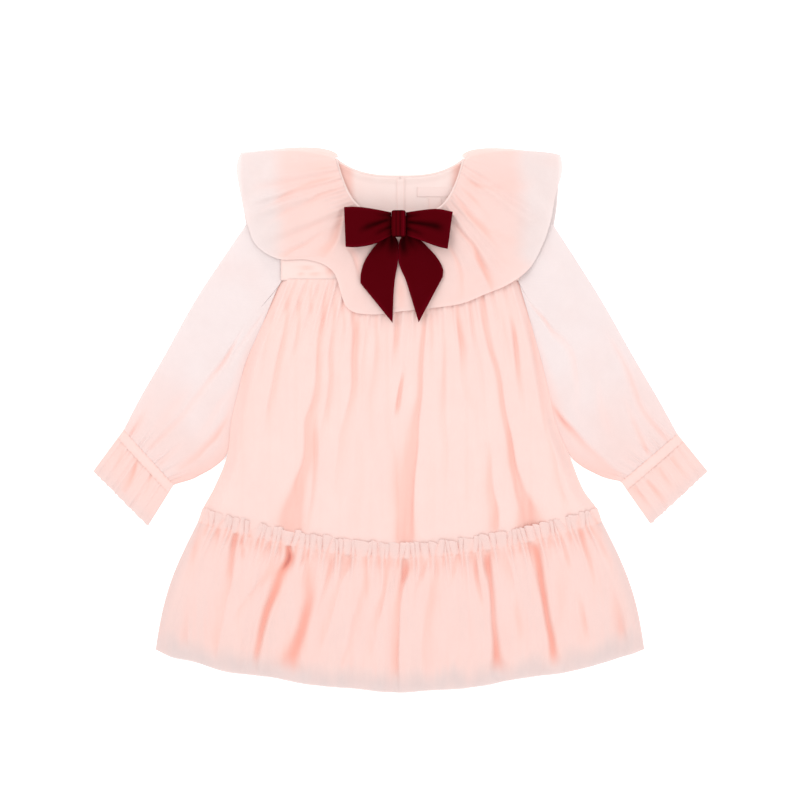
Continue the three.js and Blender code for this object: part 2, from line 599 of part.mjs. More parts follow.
// A flat strip on the inside of the back yoke.
function patch({ left, right, bottom, top }) {
  const level = 2 * LAYER + GAP / 2;
  const place = (u, v, side) => [mix(left, right, u), mix(bottom, top, v), level + side * 0.8];
  return wall(2, evenly(2), place);
}

// Bow loops, each a band of ribbon that goes out and comes back, with creases that run from the knot.
function bowLoop(hand) {
  const rows = LOOPS[hand];
  return wall(
    20,
    evenly(4),
    (u, v, side) => {
      const turn = 2 * Math.PI * u;
      const out = (1 - Math.cos(turn)) / 2;
      const inner = side ? 0 : VELVET;
      const reach = Math.abs(rows.at(-1).x - rows[0].x);
      const place = mix(inner / reach, 1 - inner / reach, out);
      const x = read(rows, "out", "x", place);
      const y = mix(read(rows, "out", "low", place), read(rows, "out", "high", place), v);
      const depth = LOOP_DEPTH * (0.62 + 0.38 * smooth(0, 0.6, place)) - 2 * inner;
      const crease = 0.9 * (1 - place) * wave(1.5 * v + 0.25);
      const over = Math.sin(turn) > 0 ? crease : 0;
      const round = Math.sign(Math.sin(turn)) * Math.abs(Math.sin(turn)) ** 0.55;
      return [x, y, BOW_BASE + LOOP_DEPTH / 2 + (depth / 2) * round + over];
    },
    true,
  );
}
function bowTail(hand) {
  const rows = TAILS[hand];
  return wall(6, evenly(8), (u, v, side) => {
    const x = mix(read(rows, "down", "leftX", v), read(rows, "down", "rightX", v), u);
    const y = mix(read(rows, "down", "leftY", v), read(rows, "down", "rightY", v), u);
    const arch = 1.2 * Math.sin(Math.PI * u) * smooth(0.1, 0.4, v);
    return [x, y, collarBase(x, y) + PLEATED_CLOTH + 1.1 + arch + side * VELVET];
  });
}
function bowKnot() {
  const { left, right, low, high, depth } = KNOT;
  return loft(6, 12, (v, turn) => {
    const angle = 2 * Math.PI * turn;
    const swell = 0.94 + 0.06 * Math.sin(Math.PI * v);
    const round = (value) => Math.sign(value) * Math.abs(value) ** 0.6;
    const x = (left + right) / 2 + ((right - left) / 2) * swell * round(Math.cos(angle));
    const z = BOW_BASE + depth / 2 + (depth / 2) * swell * round(Math.sin(angle));
    return [x, mix(low, high, v), z];
  });
}

const NET = { color: 0xf7cfc8, roughness: 0.85, metalness: 0 };
const SHEER = { color: 0xf9dcd7, roughness: 0.85, metalness: 0 };
const LINING_CLOTH = { color: 0xf4c0b6, roughness: 0.9, metalness: 0 };
const BOW_VELVET = { color: 0x5c0712, roughness: 0.95, metalness: 0 };
const LABEL_CLOTH = { color: 0xf6e4df, roughness: 0.7, metalness: 0 };

const flatLevel = (height) => (x, y) => Math.max(lift(x, y), LAYER) + height;
const pieces = {
  collar_back_left: [backCollar(-1), SHEER],
  collar_back_right: [backCollar(1), SHEER],
  yoke_back_left: [yoke(10, 3, 0, 0.5, backNeckY, flatLevel(0)), NET],
  yoke_back_right: [yoke(10, 3, 0.5, 1, backNeckY, flatLevel(0)), NET],
  body_back: [backBody(), NET],
  tier_back: [backTier(), NET],
  lining_back: [lining(LINING_BACK), LINING_CLOTH],
  lining_front: [lining(LINING_FRONT), LINING_CLOTH],
  yoke_front: [yoke(20, 4, 0, 1, frontNeckY, frontYokeZ), NET],
  body_front: [frontBody(), NET],
  tier_front: [frontTier(), NET],
  sleeve_left: [sleeve("left"), SHEER],
  sleeve_right: [sleeve("right"), SHEER],
  cuff_band_left: [cuffBand("left"), NET],
  cuff_band_right: [cuffBand("right"), NET],
  cuff_frill_left: [cuffFrill("left"), SHEER],
  cuff_frill_right: [cuffFrill("right"), SHEER],
  collar_front: [frontCollar(), SHEER],
  neck_binding_front: [binding(frontNeckY, frontBindingZ), NET],
  neck_binding_back: [binding(backNeckY, () => 0), NET],
  back_placket: [patch(PLACKET), NET],
  label_main: [patch(LABELS.label_main), LABEL_CLOTH],
  label_size: [patch(LABELS.label_size), LABEL_CLOTH],
  bow_loop_left: [bowLoop("left"), BOW_VELVET],
  bow_loop_right: [bowLoop("right"), BOW_VELVET],
  bow_tail_left: [bowTail("left"), BOW_VELVET],
  bow_tail_right: [bowTail("right"), BOW_VELVET],
  bow_knot: [bowKnot(), BOW_VELVET],
};

const dress = new THREE.Group();
for (const [name, [geometry, finish]] of Object.entries(pieces)) {
  const piece = new THREE.Mesh(geometry, new THREE.MeshStandardMaterial(finish));
  piece.name = name;
  dress.add(piece);
}
export default dress;
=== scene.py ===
"""A toddler's party dress laid flat: sheer net over a lining, a gathered cape collar and a velvet bow.

Tables and places are in millimetres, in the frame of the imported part, and MM turns them into metres.
The cuts of cloth, and what a user would change, are in metres.
"""
import math
from collections import namedtuple
from functools import lru_cache, partial

import bmesh
import bpy
from bpy.props import FloatProperty, FloatVectorProperty, IntProperty, PointerProperty
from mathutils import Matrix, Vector, noise


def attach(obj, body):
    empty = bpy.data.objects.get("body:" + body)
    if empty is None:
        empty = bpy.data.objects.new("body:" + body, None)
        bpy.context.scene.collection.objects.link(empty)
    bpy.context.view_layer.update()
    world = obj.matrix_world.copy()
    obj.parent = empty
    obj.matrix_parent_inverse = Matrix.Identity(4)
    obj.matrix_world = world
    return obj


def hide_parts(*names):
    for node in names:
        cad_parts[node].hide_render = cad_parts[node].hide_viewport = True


bl_info = {
    "name": "Toddler party dress",
    "version": (1, 0, 0),
    "blender": (4, 5, 0),
    "location": "3D View > Sidebar > Dress",
    "description": "Net party dress with a lining, a gathered collar and a velvet bow, laid out flat",
    "category": "Object",
}

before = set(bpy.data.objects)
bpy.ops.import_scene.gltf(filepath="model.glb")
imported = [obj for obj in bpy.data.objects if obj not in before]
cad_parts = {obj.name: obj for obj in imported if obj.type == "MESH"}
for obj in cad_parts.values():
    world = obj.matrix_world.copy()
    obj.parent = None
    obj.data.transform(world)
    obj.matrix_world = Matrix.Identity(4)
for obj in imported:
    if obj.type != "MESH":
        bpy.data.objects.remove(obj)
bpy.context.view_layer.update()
MM = 0.001

# Layers of the laid dress, as in the solids. SEWN is the space left at a seam, and TUBE_EDGE the height of
# the side edges of a tube that is pressed flat.
CLOTH = 1.2
PLEATED_CLOTH = 1.4
VELVET = 1.6
GAP = 0.3
LAYER = CLOTH + GAP
SEWN = 0.05
YOKE_OVERLAP = 1.2
LINING_BACK = LAYER
LINING_FRONT = 2 * LAYER
FRONT = 3 * LAYER
FRONT_YOKE = 4.5
TUBE_EDGE = 2.2

# Neckline, shoulders, seams and hem.
NECK_HALF_WIDTH = 59
SHOULDER_NECK_Y = 246
FRONT_NECK_Y = 194
BACK_NECK_Y = 230.5
SHOULDER_HALF_WIDTH = 111
SHOULDER_DROP = 6
YOKE_SEAM_Y = 131
YOKE_SEAM_HALF = 112
TIER_SEAM_Y = -130
TIER_SEAM_RISE = 34
TIER_SEAM_HALF = 190
HEM_Y = -256
HEM_RISE = 41
HEM_HALF = 230
HEM_DIP = 4
LEFT_HEM_DIP = 3
FRONT_NECK_POWER = 4.5
BACK_NECK_POWER = 3
TIER_SEAM_POWER = 1.7
HEM_POWER = 1.6
TIER_SIDE_SWELL = 7
BODY_CORNER_Y = -100
SLEEVE_TOP_Y = 240
SLEEVE_SLOPE = 0.61
HEADING = 14
# The share of the front tier's grid rows that its heading takes.
HEADING_SHARE = 0.22
NET_BELOW_LINING = 21
LINING_INSET = 14
BINDING_WIDTH = 4
BINDING_DEPTH = 3
CUFF_BAND = 9.5
CUFF_END = 42
FRILL_PAST_END = 5.4

# How many gathers and how many finer puckers each piece has.
FRILLS = 64
BODY_GATHERS = 21
BODY_PUCKERS = 46
TIER_GATHERS = 26
COLLAR_GATHERS = 16
COLLAR_PUCKERS = 54
SLEEVE_PLEATS = 12
BAND_PLEATS = 14
CUFF_WAVES = 5
CUFF_PUCKERS = 13

# The widths across which the traced folds' reaches are measured.
COLLAR_NECK_LENGTH = 170
COLLAR_EDGE_LENGTH = 420
SLEEVE_TOP_WIDTH = 150
SLEEVE_END_WIDTH = 75
CUFF_WIDTH = 70

BodySide = namedtuple("BodySide", "y left right")
BODY_SIDES = [
    BodySide(-104, -188, 189),
    BodySide(-88, -186, 186),
    BodySide(-64, -175, 172),
    BodySide(-32, -163, 160),
    BodySide(0, -159, 147),
    BodySide(35, -151, 139),
    BodySide(60, -144, 133),
    BodySide(91, -131, 125),
    BodySide(131, -113, 112),
]

Puff = namedtuple("Puff", "down height")
BODY_PUFF = [
    Puff(0, 1),
    Puff(0.12, 1.9),
    Puff(0.3, 4.2),
    Puff(0.6, 5.6),
    Puff(0.88, 6),
    Puff(0.95, 3.6),
    Puff(1, 0.6),
]

# The folds that show, by panel, as traced on the photograph. Each point of a fold has its column and
# row there, its depth in millimetres, and its reach to the left and to the right. A short reach is crisp.
PIXEL = 0.94
MIDDLE_COLUMN = 400
MIDDLE_ROW = 420
TracedPoint = namedtuple("TracedPoint", "column row depth left right")
TRACED_FOLDS = {
    "body": [
        [(287, 294, 0.5, 1.5, 2), (287, 320, 1.5, 1.5, 2), (281, 350, 1.8, 1.5, 3), (275, 380, 1.5, 1.5, 4),
         (270, 405, 1.3, 1.5, 4), (267, 434, 0.2, 1.5, 4)],
        [(299, 294, 0.5, 1.5, 1.5), (299, 320, 1.3, 1.5, 2), (297, 340, 1.5, 1.5, 2), (292, 364, 0.3, 2, 2)],
        [(311, 286, 0.7, 1, 1.5), (311, 302, 1.2, 1.2, 1.5), (311, 320, 0.2, 1.2, 1.5)],
        [(326, 292, 0.8, 1.5, 2), (323, 320, 1.8, 1.5, 2.5), (319, 345, 2, 1.5, 3),
         (318, 372, 1.8, 1.5, 3.5), (315, 399, 2.2, 2, 4), (308, 418, 2.3, 2, 5), (307, 440, 2.6, 2, 6),
         (305, 463, 3, 2.5, 6), (300, 478, 3.6, 3, 6), (296, 499, 4.6, 6, 6), (290, 525, 6, 8, 9)],
        [(316, 418, 0.8, 1.5, 2.5), (316, 450, 1.7, 1.5, 2), (315, 478, 1.6, 1.5, 2),
         (313, 500, 1.1, 1.5, 2), (309, 527, 0.4, 1.5, 2)],
        [(335, 300, 0.6, 1.5, 1.5), (334, 325, 1.5, 1.5, 2), (331, 350, 1.6, 1.5, 2.5),
         (331, 380, 1.8, 1.5, 3), (327, 410, 1.3, 1.5, 4), (321, 442, 0.3, 2, 4)],
        [(352, 306, 1, 2, 3), (355, 330, 2.4, 2, 3.5), (354, 360, 2.6, 2, 3), (353, 390, 2, 1.5, 4),
         (347, 415, 1.4, 1.5, 5), (341, 440, 1.2, 1.5, 6), (338, 470, 0.8, 1.5, 5), (337, 502, 0.2, 1.5, 5)],
        [(376, 322, 0.8, 2, 2), (377, 350, 1.5, 2, 3), (375, 380, 1.1, 3, 3), (371, 402, 0.7, 4, 3),
         (374, 440, 0.5, 3, 3), (375, 470, 0.2, 3, 3)],
        [(397, 318, 1.2, 1.5, 2), (396, 340, 1.9, 1.5, 2), (394, 367, 0.3, 1.5, 2)],
        [(404, 370, 0.6, 1, 1.5), (401, 385, 3, 1.3, 1.6), (398, 404, 3, 1.5, 2), (396, 418, 0.2, 1.5, 2)],
        [(425, 312, 1.4, 1.5, 1.5), (423, 340, 2.5, 2, 1.5), (421, 370, 2.5, 2.5, 1.5),
         (420, 400, 2.6, 3, 1.3), (417, 430, 2.8, 7, 1.3), (415, 460, 3.3, 11, 1.3),
         (412, 490, 4.3, 11, 1.5), (410, 515, 5.2, 9, 2.5), (407, 538, 6, 8, 5)],
        [(442, 325, 0.6, 1, 2), (444, 350, 1.2, 1.5, 2), (444, 380, 1.5, 2, 1.5), (444, 420, 1, 3, 1.5),
         (446, 460, 0.8, 3, 1.5), (446, 492, 0.2, 3, 1.5)],
        [(456, 308, 1.4, 1.5, 2), (459, 330, 2.5, 1.5, 2.5), (462, 350, 2, 2, 3), (463, 375, 1, 2, 3),
         (467, 395, 0.8, 2, 4), (476, 415, 0.2, 2, 4)],
        [(481, 292, 1, 2, 1.5), (484, 320, 1.8, 1.5, 2), (489, 345, 2.1, 1.5, 2.5), (497, 370, 2.5, 2, 2),
         (502, 400, 2.7, 2.5, 1.5), (508, 430, 2.9, 3, 1.5), (513, 460, 3.5, 4, 1.6),
         (517, 480, 4.2, 3.5, 3), (522, 500, 5, 4, 6), (527, 520, 6, 7, 9), (531, 533, 6, 9, 11)],
        [(487, 440, 0.5, 3, 1.5), (490, 470, 1.7, 4, 1.5), (494, 500, 2.3, 6, 1.5), (496, 527, 3, 6, 2)],
        [(512, 322, 1, 1.5, 1.5), (515, 340, 2.7, 1.8, 1.8), (517, 360, 2.7, 1.8, 2), (519, 380, 1.8, 2, 2),
         (523, 407, 0.3, 2, 2)],
        [(497, 300, 0.4, 1.5, 1.5), (503, 325, 1, 1.5, 2), (508, 350, 0.9, 1.5, 2), (511, 372, 0.2, 1.5, 2)],
        [(527, 320, 0.6, 1.5, 2), (534, 350, 1.5, 1.5, 2), (539, 380, 1.2, 2, 2), (543, 410, 1, 2, 2),
         (549, 440, 1, 2, 1.5), (556, 470, 1.3, 3, 1.5), (563, 495, 1, 3, 1.5), (568, 517, 0.3, 3, 1.5)],
        [(257, 335, 0.4, 3, 3), (246, 370, 0.9, 3, 4), (243, 410, 0.8, 2, 5), (241, 450, 0.5, 2, 5),
         (240, 480, 0.1, 2, 5)],
        [(431, 318, 0.9, 1.5, 1.5), (432, 340, 1.1, 1.5, 1.5), (432, 375, 0.3, 1.5, 2)],
        [(366, 318, 0.8, 1.5, 1.5), (366, 340, 1, 1.5, 1.5), (363, 380, 0.6, 2, 2), (362, 410, 0.1, 2, 2)],
        [(386, 330, 0.6, 1.5, 1.5), (387, 355, 0.9, 1.5, 1.5), (388, 400, 0.5, 2, 2),
         (392, 440, 0.7, 4, 1.5), (396, 480, 0.5, 5, 1.5), (398, 510, 0.1, 5, 1.5)],
        [(343, 304, 0.6, 1, 1.5), (344, 325, 1.1, 1.2, 1.5), (342, 355, 0.3, 1.5, 1.5)],
        [(470, 300, 0.5, 1, 1.5), (473, 330, 1.1, 1.5, 1.5), (478, 355, 0.8, 1.5, 1.5),
         (483, 390, 0.6, 2, 1.5), (487, 430, 0.2, 2, 1.5)],
        [(273, 300, 0.4, 1.5, 1.5), (270, 330, 0.9, 1.5, 2), (264, 360, 0.5, 1.5, 2), (260, 390, 0.1, 2, 2)],
        [(360, 440, 0.2, 3, 3), (362, 480, 0.6, 4, 2), (358, 520, 0.5, 5, 2), (357, 535, 0.3, 5, 2)],
        [(430, 440, 0.2, 3, 3), (432, 470, 0.5, 3, 3), (430, 510, 0.4, 4, 3), (430, 530, 0.2, 4, 3)],
        [(466, 440, 0.2, 3, 3), (468, 480, 0.5, 3, 3), (467, 510, 0.1, 3, 3)],
    ],
    "tier": [
        [(200, 529, 1.5, 2, 2), (195, 547, 2.5, 2, 3), (191, 562, 1.5, 2, 3), (187, 582, 0.3, 2, 3)],
        [(219, 531, 1.2, 1.2, 1.2), (217, 540, 1, 1.2, 1.2), (214, 555, 0.2, 1.5, 1.5)],
        [(190, 598, 0.4, 3, 3), (187, 620, 1.4, 3, 2.5), (186, 638, 2.2, 4, 2), (187, 648, 1.5, 5, 2)],
        [(235, 534, 2.5, 1.5, 2), (233, 550, 3.6, 2, 2.2), (231, 570, 3.6, 3, 2), (230, 584, 2.2, 4, 1.4),
         (226, 599, 1.6, 5, 1.2), (222, 620, 1.3, 7, 1.2), (218, 640, 1.3, 8, 1.2), (215, 656, 1, 8, 1.5)],
        [(243, 534, 1.2, 1.2, 1.4), (243, 550, 2.6, 1.5, 1.6), (244, 562, 0.4, 1.5, 1.5)],
        [(253, 538, 0.8, 1, 1), (251, 548, 1, 1.2, 1.2), (249, 560, 0.2, 1.2, 1.2)],
        [(274, 556, 1, 2, 3), (268, 572, 2.2, 3, 4.5), (257, 587, 1.4, 1.5, 4), (246, 600, 1.2, 1.2, 4),
         (238, 613, 0.8, 1.2, 4), (231, 628, 0.1, 1.2, 4)],
        [(268, 544, 0.8, 1.2, 1.5), (262, 556, 1, 1.5, 1.5), (254, 568, 0.2, 1.5, 1.5)],
        # Past DEEPEST a depth only deepens the painted shade: the top of this fold is painted as the shadow
        # in a hole.
        [(290, 538, 6, 2.5, 2.5), (291, 547, 20, 3, 2.6), (289.5, 558, 13, 3.5, 3.2), (282, 572, 7.5, 4, 4),
         (275, 591, 7, 3.6, 3.6), (268, 609, 6.5, 3.3, 3), (263, 627, 6, 3.2, 2.6), (259, 645, 5, 3, 2.5),
         (256, 660, 4.2, 3, 2.5), (254, 673, 2, 3, 2.5)],
        [(306, 551, 0.8, 1.5, 1.5), (304, 559, 1.8, 1.8, 1.8), (300, 568, 0.3, 1.5, 1.5)],
        [(312, 560, 0.8, 3, 2), (309, 577, 2.6, 5, 5), (310, 597, 4.2, 5, 4), (307, 611, 5.8, 4.5, 4),
         (303, 627, 6.3, 4.5, 3.6), (298, 643, 6.3, 6, 4), (293, 657, 6, 8, 5), (290, 668, 5, 10, 8),
         (289, 678, 2, 10, 8)],
        [(332, 555, 1.8, 1.5, 1.5), (331, 566, 3, 2, 2), (327, 582, 2.1, 1.5, 1.8),
         (323, 597, 1.1, 1.5, 1.8), (318, 614, 0.2, 1.5, 2)],
        [(349, 555, 2.2, 3, 2), (347, 566, 2.6, 3.5, 2.5), (341, 580, 1.6, 3, 1.2), (335, 600, 1.6, 5, 1.2),
         (328, 624, 1.3, 6, 1.2), (321, 645, 0.9, 6, 1.2), (316, 664, 0.3, 6, 1.2)],
        [(367, 568, 0.8, 2, 2), (365, 585, 2, 2.2, 3.5), (361, 601, 1.4, 2, 3), (355, 620, 1.6, 2, 5),
         (351, 640, 1.3, 2, 4), (344, 660, 1.3, 2, 3), (340, 675, 0.4, 2, 3)],
        [(386, 556, 2.2, 1.2, 1.5), (386, 575, 3.2, 1.6, 2.2), (384, 592, 2.7, 2, 1.6),
         (380, 610, 2.1, 3.5, 1.4), (375, 628, 1.2, 5, 2), (371, 646, 1.3, 4, 2), (369, 664, 0.3, 4, 2)],
        [(398, 552, 1.5, 1.2, 1.2), (397, 563, 1.8, 1.4, 1.4), (396, 575, 0.2, 1.4, 1.4)],
        [(406, 547, 3, 2.5, 2.5), (408, 558, 5.8, 4.5, 4), (406, 570, 5.2, 3.5, 3),
         (402, 585, 3.8, 3, 1.6), (399, 605, 3.1, 4, 1.4), (398, 630, 3.1, 5, 1.3), (397, 655, 3.6, 4, 1.3),
         (397, 677, 3.2, 3.5, 1.6), (397, 688, 2, 3.5, 1.6)],
        [(428, 555, 1.2, 1.5, 1.5), (424, 567, 2, 1.7, 2), (419, 582, 1.5, 1.5, 1.8),
         (416, 595, 0.3, 1.5, 1.5)],
        [(440, 556, 0.8, 1.5, 1.5), (437, 568, 1.5, 2, 2.5), (434, 585, 1.7, 3, 3.5),
         (430, 605, 2.2, 3.5, 5), (426, 625, 1.8, 2, 6), (424, 645, 1.5, 1.5, 7), (424, 662, 1.3, 1.5, 8),
         (425, 680, 0.8, 1.5, 8)],
        [(457, 555, 2.2, 1.8, 1.8), (455, 567, 2.2, 2.2, 2), (451, 584, 0.5, 2, 2)],
        [(464, 560, 0.8, 1.2, 1.2), (465, 575, 1.2, 1.5, 1.5), (466, 592, 0.2, 1.5, 1.5)],
        [(475, 552, 2.2, 1.3, 1.3), (476, 570, 3.6, 1.7, 1.7), (478, 585, 2.6, 1.7, 1.7),
         (481, 600, 1.3, 1.7, 1.7), (484, 617, 0.2, 1.7, 1.7)],
        [(489, 552, 3.5, 2.5, 2), (488, 563, 5.4, 3.2, 2.6), (490, 580, 4.3, 1.8, 2.2),
         (492, 600, 3.8, 1.6, 2.2), (493, 620, 4.2, 1.8, 2.6), (495, 640, 5.2, 2.2, 3),
         (496, 655, 6, 3, 3.6), (497, 668, 5, 5, 6), (498, 676, 2, 5, 6)],
        [(503, 547, 0.6, 2, 1.2), (507, 560, 1.5, 4.5, 1.2), (511, 575, 1.5, 4.5, 1.2),
         (513, 590, 0.3, 3, 1.2)],
        [(516, 596, 0.5, 2, 3), (517, 612, 1.9, 3, 3.5), (519, 628, 1.6, 3, 3.5), (521, 643, 0.2, 3, 3.5)],
        [(531, 539, 2.5, 5, 3), (536, 550, 6.5, 4.5, 3), (539, 565, 6.8, 3.4, 3), (541, 582, 6.3, 2.6, 3),
         (544, 600, 6.2, 2.2, 2.6), (547, 618, 5.8, 2.2, 2.6), (551, 638, 6.2, 2.6, 3),
         (553, 653, 5.6, 3.2, 4), (555, 665, 3, 4, 6)],
        [(549, 540, 1.2, 1.2, 1.2), (549, 550, 1.2, 1.3, 1.3), (551, 562, 0.2, 1.3, 1.3)],
        [(562, 541, 0.8, 1.4, 1.2), (566, 556, 2.1, 1.6, 2), (570, 568, 0.6, 1.5, 1.5)],
        [(558, 563, 0.5, 3, 3), (560, 590, 1.4, 3.5, 3.5), (561, 615, 1.2, 3.5, 3.5),
         (560, 633, 0.2, 3.5, 3.5)],
        [(580, 531, 2.4, 2, 1.5), (584, 545, 3.7, 2.2, 2), (588, 558, 3.2, 1.7, 2.2),
         (592, 573, 1.7, 1.7, 2), (597, 592, 0.3, 1.7, 2)],
        [(577, 590, 0.3, 2, 2), (581, 607, 1.9, 2.3, 2), (584, 622, 2.2, 2.3, 1.7), (587, 638, 0.5, 2, 1.7)],
        [(592, 526, 1, 1.3, 1.5), (598, 538, 2, 1.6, 2), (604, 551, 2, 1.8, 2), (611, 565, 0.3, 1.8, 2)],
        [(612, 589, 0.5, 2, 3), (616, 605, 2.2, 3, 3.4), (619, 618, 3.2, 3.4, 3.4),
         (622, 631, 3.2, 3.6, 2.4), (625, 643, 0.8, 3.6, 2.4)],
    ],
    "collar": [
        [(340, 178, 0.5, 1.5, 2), (330, 179, 1, 1.5, 2.5), (319, 181, 1.8, 2, 3), (301, 188, 1.8, 1.6, 3),
         (287, 195, 1.8, 1.6, 3), (276, 202, 1, 1.6, 3), (262, 211, 0.2, 2, 3)],
        [(314, 180, 0.2, 2, 2), (290, 183, 0.9, 2.5, 2), (266, 186, 1, 2.5, 2.5), (252, 187, 0.3, 2.5, 2.5)],
        [(342, 187, 0.5, 1.5, 1.5), (330, 192, 1.2, 1.5, 2), (321, 195, 1.5, 1.5, 2.5),
         (312, 201, 1.3, 1.5, 3.5), (299, 208, 0.5, 2, 3), (287, 212, 1.2, 2, 2.5), (277, 218, 0.6, 2, 3),
         (266, 224, 0.1, 2, 3)],
        [(343, 211, 1, 2, 1.5), (340, 224, 2.6, 3, 1.6), (336, 238, 2.8, 4, 1.6), (329, 249, 2.6, 5, 2),
         (322, 257, 1.2, 5, 3)],
        [(321, 234, 0.5, 1.5, 2), (307, 244, 1.4, 2.4, 1.5), (291, 252, 1.8, 3, 1.5),
         (284, 257, 1.8, 3, 1.5)],
        [(331, 218, 0.3, 1.5, 1.5), (318, 224, 0.7, 2, 2), (300, 232, 0.5, 2.5, 2.5),
         (285, 238, 0.1, 2.5, 2.5)],
        [(465, 181, 0.8, 1.5, 1.5), (477, 186, 2, 2, 2), (487, 188, 1.3, 2, 2), (503, 188, 0.9, 2.5, 2.5),
         (521, 188, 1, 2.5, 2.5), (533, 188, 0.1, 2.5, 2.5)],
        [(463, 189, 0.8, 1.3, 1.3), (471, 197, 1.4, 1.5, 1.5), (482, 210, 0.9, 1.5, 1.8),
         (492, 222, 0.1, 1.5, 1.8)],
        [(455, 197, 0.8, 1.2, 1.2), (461, 205, 1.6, 1.3, 1.5), (471, 218, 2.8, 1.6, 2.2),
         (480, 227, 3, 2, 3.4), (487, 236, 2, 1.6, 3), (495, 246, 1, 1.5, 2.5), (503, 256, 0.1, 1.5, 2.5)],
        [(484, 229, 0.2, 1.5, 1.5), (494, 233, 0.8, 2, 2), (509, 239, 0.6, 2, 2), (520, 244, 0.1, 2, 2)],
        [(456, 226, 1.2, 1, 1.2), (463, 235, 1.9, 1.2, 1.5), (473, 246, 2.8, 1.6, 2), (478, 258, 3.6, 2, 3),
         (484, 271, 3.6, 1.6, 3.2), (490, 285, 2.6, 1.5, 3), (492, 292, 1.2, 1.5, 3)],
        [(449, 247, 1.2, 1.3, 1.5), (456, 259, 1.8, 1.6, 1.6), (461, 274, 2, 2.4, 1.5),
         (462, 288, 1.6, 3, 1.5), (462, 298, 1, 3, 1.5)],
        [(467, 176, 0.3, 1.5, 1.5), (485, 178, 0.7, 2, 2), (505, 180, 0.5, 3, 3), (522, 181, 0.1, 3, 3)],
        [(341, 168, 0.2, 1.5, 1.5), (322, 168, 0.6, 2, 2), (300, 170, 0.5, 3, 3), (280, 171, 0.1, 3, 3)],
        # These two are painted shade beside the bow's left tail and between its tails, given as shallow
        # folds.
        [(352, 249, 1.4, 5, 7), (355, 262, 2, 4, 7), (359, 277, 0.9, 3, 5)],
        [(399, 274, 0.8, 2, 2), (400, 290, 1.8, 2, 2.5), (401, 307, 1.3, 2, 2.5)],
    ],
    "sleeve_left": [
        [(239, 336, 0.8, 2, 2), (230, 351, 2.4, 2, 3), (221, 365, 2.4, 2, 3), (209, 380, 1.7, 2, 3),
         (195, 399, 1.2, 2, 3), (185, 413, 1.2, 2, 2.5), (169, 430, 1.2, 2, 2), (150, 447, 1, 2, 2)],
        [(266, 311, 0.1, 3, 3), (257, 323, 1, 3, 3), (247, 337, 1, 3, 3), (237, 352, 0.6, 3, 3),
         (225, 368, 0.2, 3, 3)],
        [(228, 417, 0.6, 2, 2), (219, 432, 2.4, 3, 2.5), (209, 444, 2.2, 3, 2), (195, 458, 1.6, 3, 2),
         (177, 470, 0.9, 3, 2)],
        [(233, 389, 0.4, 3, 3), (219, 406, 0.8, 3, 3), (209, 423, 0.6, 3, 3), (196, 440, 0.1, 3, 3)],
        [(152, 402, 0.3, 4, 3), (142, 418, 1.2, 4, 3), (131, 434, 1.6, 3, 2)],
        [(190, 388, 0.2, 4, 4), (178, 402, 0.7, 4, 4), (165, 418, 0.5, 4, 4), (154, 432, 0.1, 3, 3)],
        [(180, 445, 0.3, 2, 2), (168, 456, 0.9, 2, 2), (160, 463, 1.1, 2, 2)],
    ],
    "sleeve_right": [
        [(530, 304, 1, 2, 2), (545, 320, 2.4, 3, 2), (552, 330, 2, 4, 2), (563, 340, 1.3, 4, 2.5),
         (573, 356, 1.3, 5, 3), (576, 374, 1, 5, 3), (579, 395, 0.4, 5, 3)],
        [(551, 406, 0.8, 2, 2), (563, 420, 3, 3, 2), (577, 435, 2.6, 4, 2), (592, 451, 1.8, 4, 2),
         (606, 464, 1.2, 4, 2), (618, 474, 0.8, 3, 2)],
        [(609, 337, 0.3, 2, 2), (618, 351, 1.3, 2.5, 2), (627, 368, 1.8, 3, 2), (635, 389, 1.6, 3, 2),
         (642, 408, 1.5, 2.5, 2), (656, 427, 1.5, 2, 2), (668, 440, 1.2, 2, 2)],
        [(626, 403, 0.4, 2, 2), (635, 425, 1.3, 2, 2), (644, 444, 1.6, 2, 2), (648, 454, 1.2, 2, 2)],
        [(597, 380, 0.2, 4, 4), (600, 400, 0.7, 4, 4), (606, 422, 0.5, 4, 4), (614, 440, 0.1, 4, 4)],
        [(571, 395, 0.1, 4, 4), (577, 412, 0.4, 4, 4), (586, 430, 0.1, 4, 4)],
    ],
    "cuff_left": [
        [(124, 450, 1, 1.5, 1.5), (120, 458, 1.3, 1.5, 1.5), (115, 468, 0.5, 1.5, 1.5)],
        [(137, 459, 1.6, 1.5, 1.5), (133, 475, 2, 2.5, 2), (126, 488, 1, 3, 2)],
        [(151, 475, 1.2, 1.5, 1.5), (148, 487, 0.8, 1.5, 1.5), (144, 500, 0.2, 1.5, 1.5)],
    ],
    "cuff_right": [
        [(634, 487, 1.2, 1.5, 1.5), (641, 495, 1.5, 1.5, 1.5), (648, 504, 0.5, 1.5, 1.5)],
        [(647, 480, 1.6, 1.3, 1.3), (655, 489, 2, 1.8, 1.8), (664, 499, 1.2, 2, 2)],
        [(659, 467, 1, 1.3, 1.3), (664, 476, 1.4, 1.5, 1.5), (672, 487, 0.5, 1.5, 1.5)],
        [(672, 457, 1.2, 1.3, 1.3), (678, 466, 1, 1.5, 1.5), (687, 476, 0.4, 1.5, 1.5)],
    ],
}
FoldRow = namedtuple("FoldRow", "down across depth before after")
DEEPEST = 7
SHADING_DEPTH = 4.5

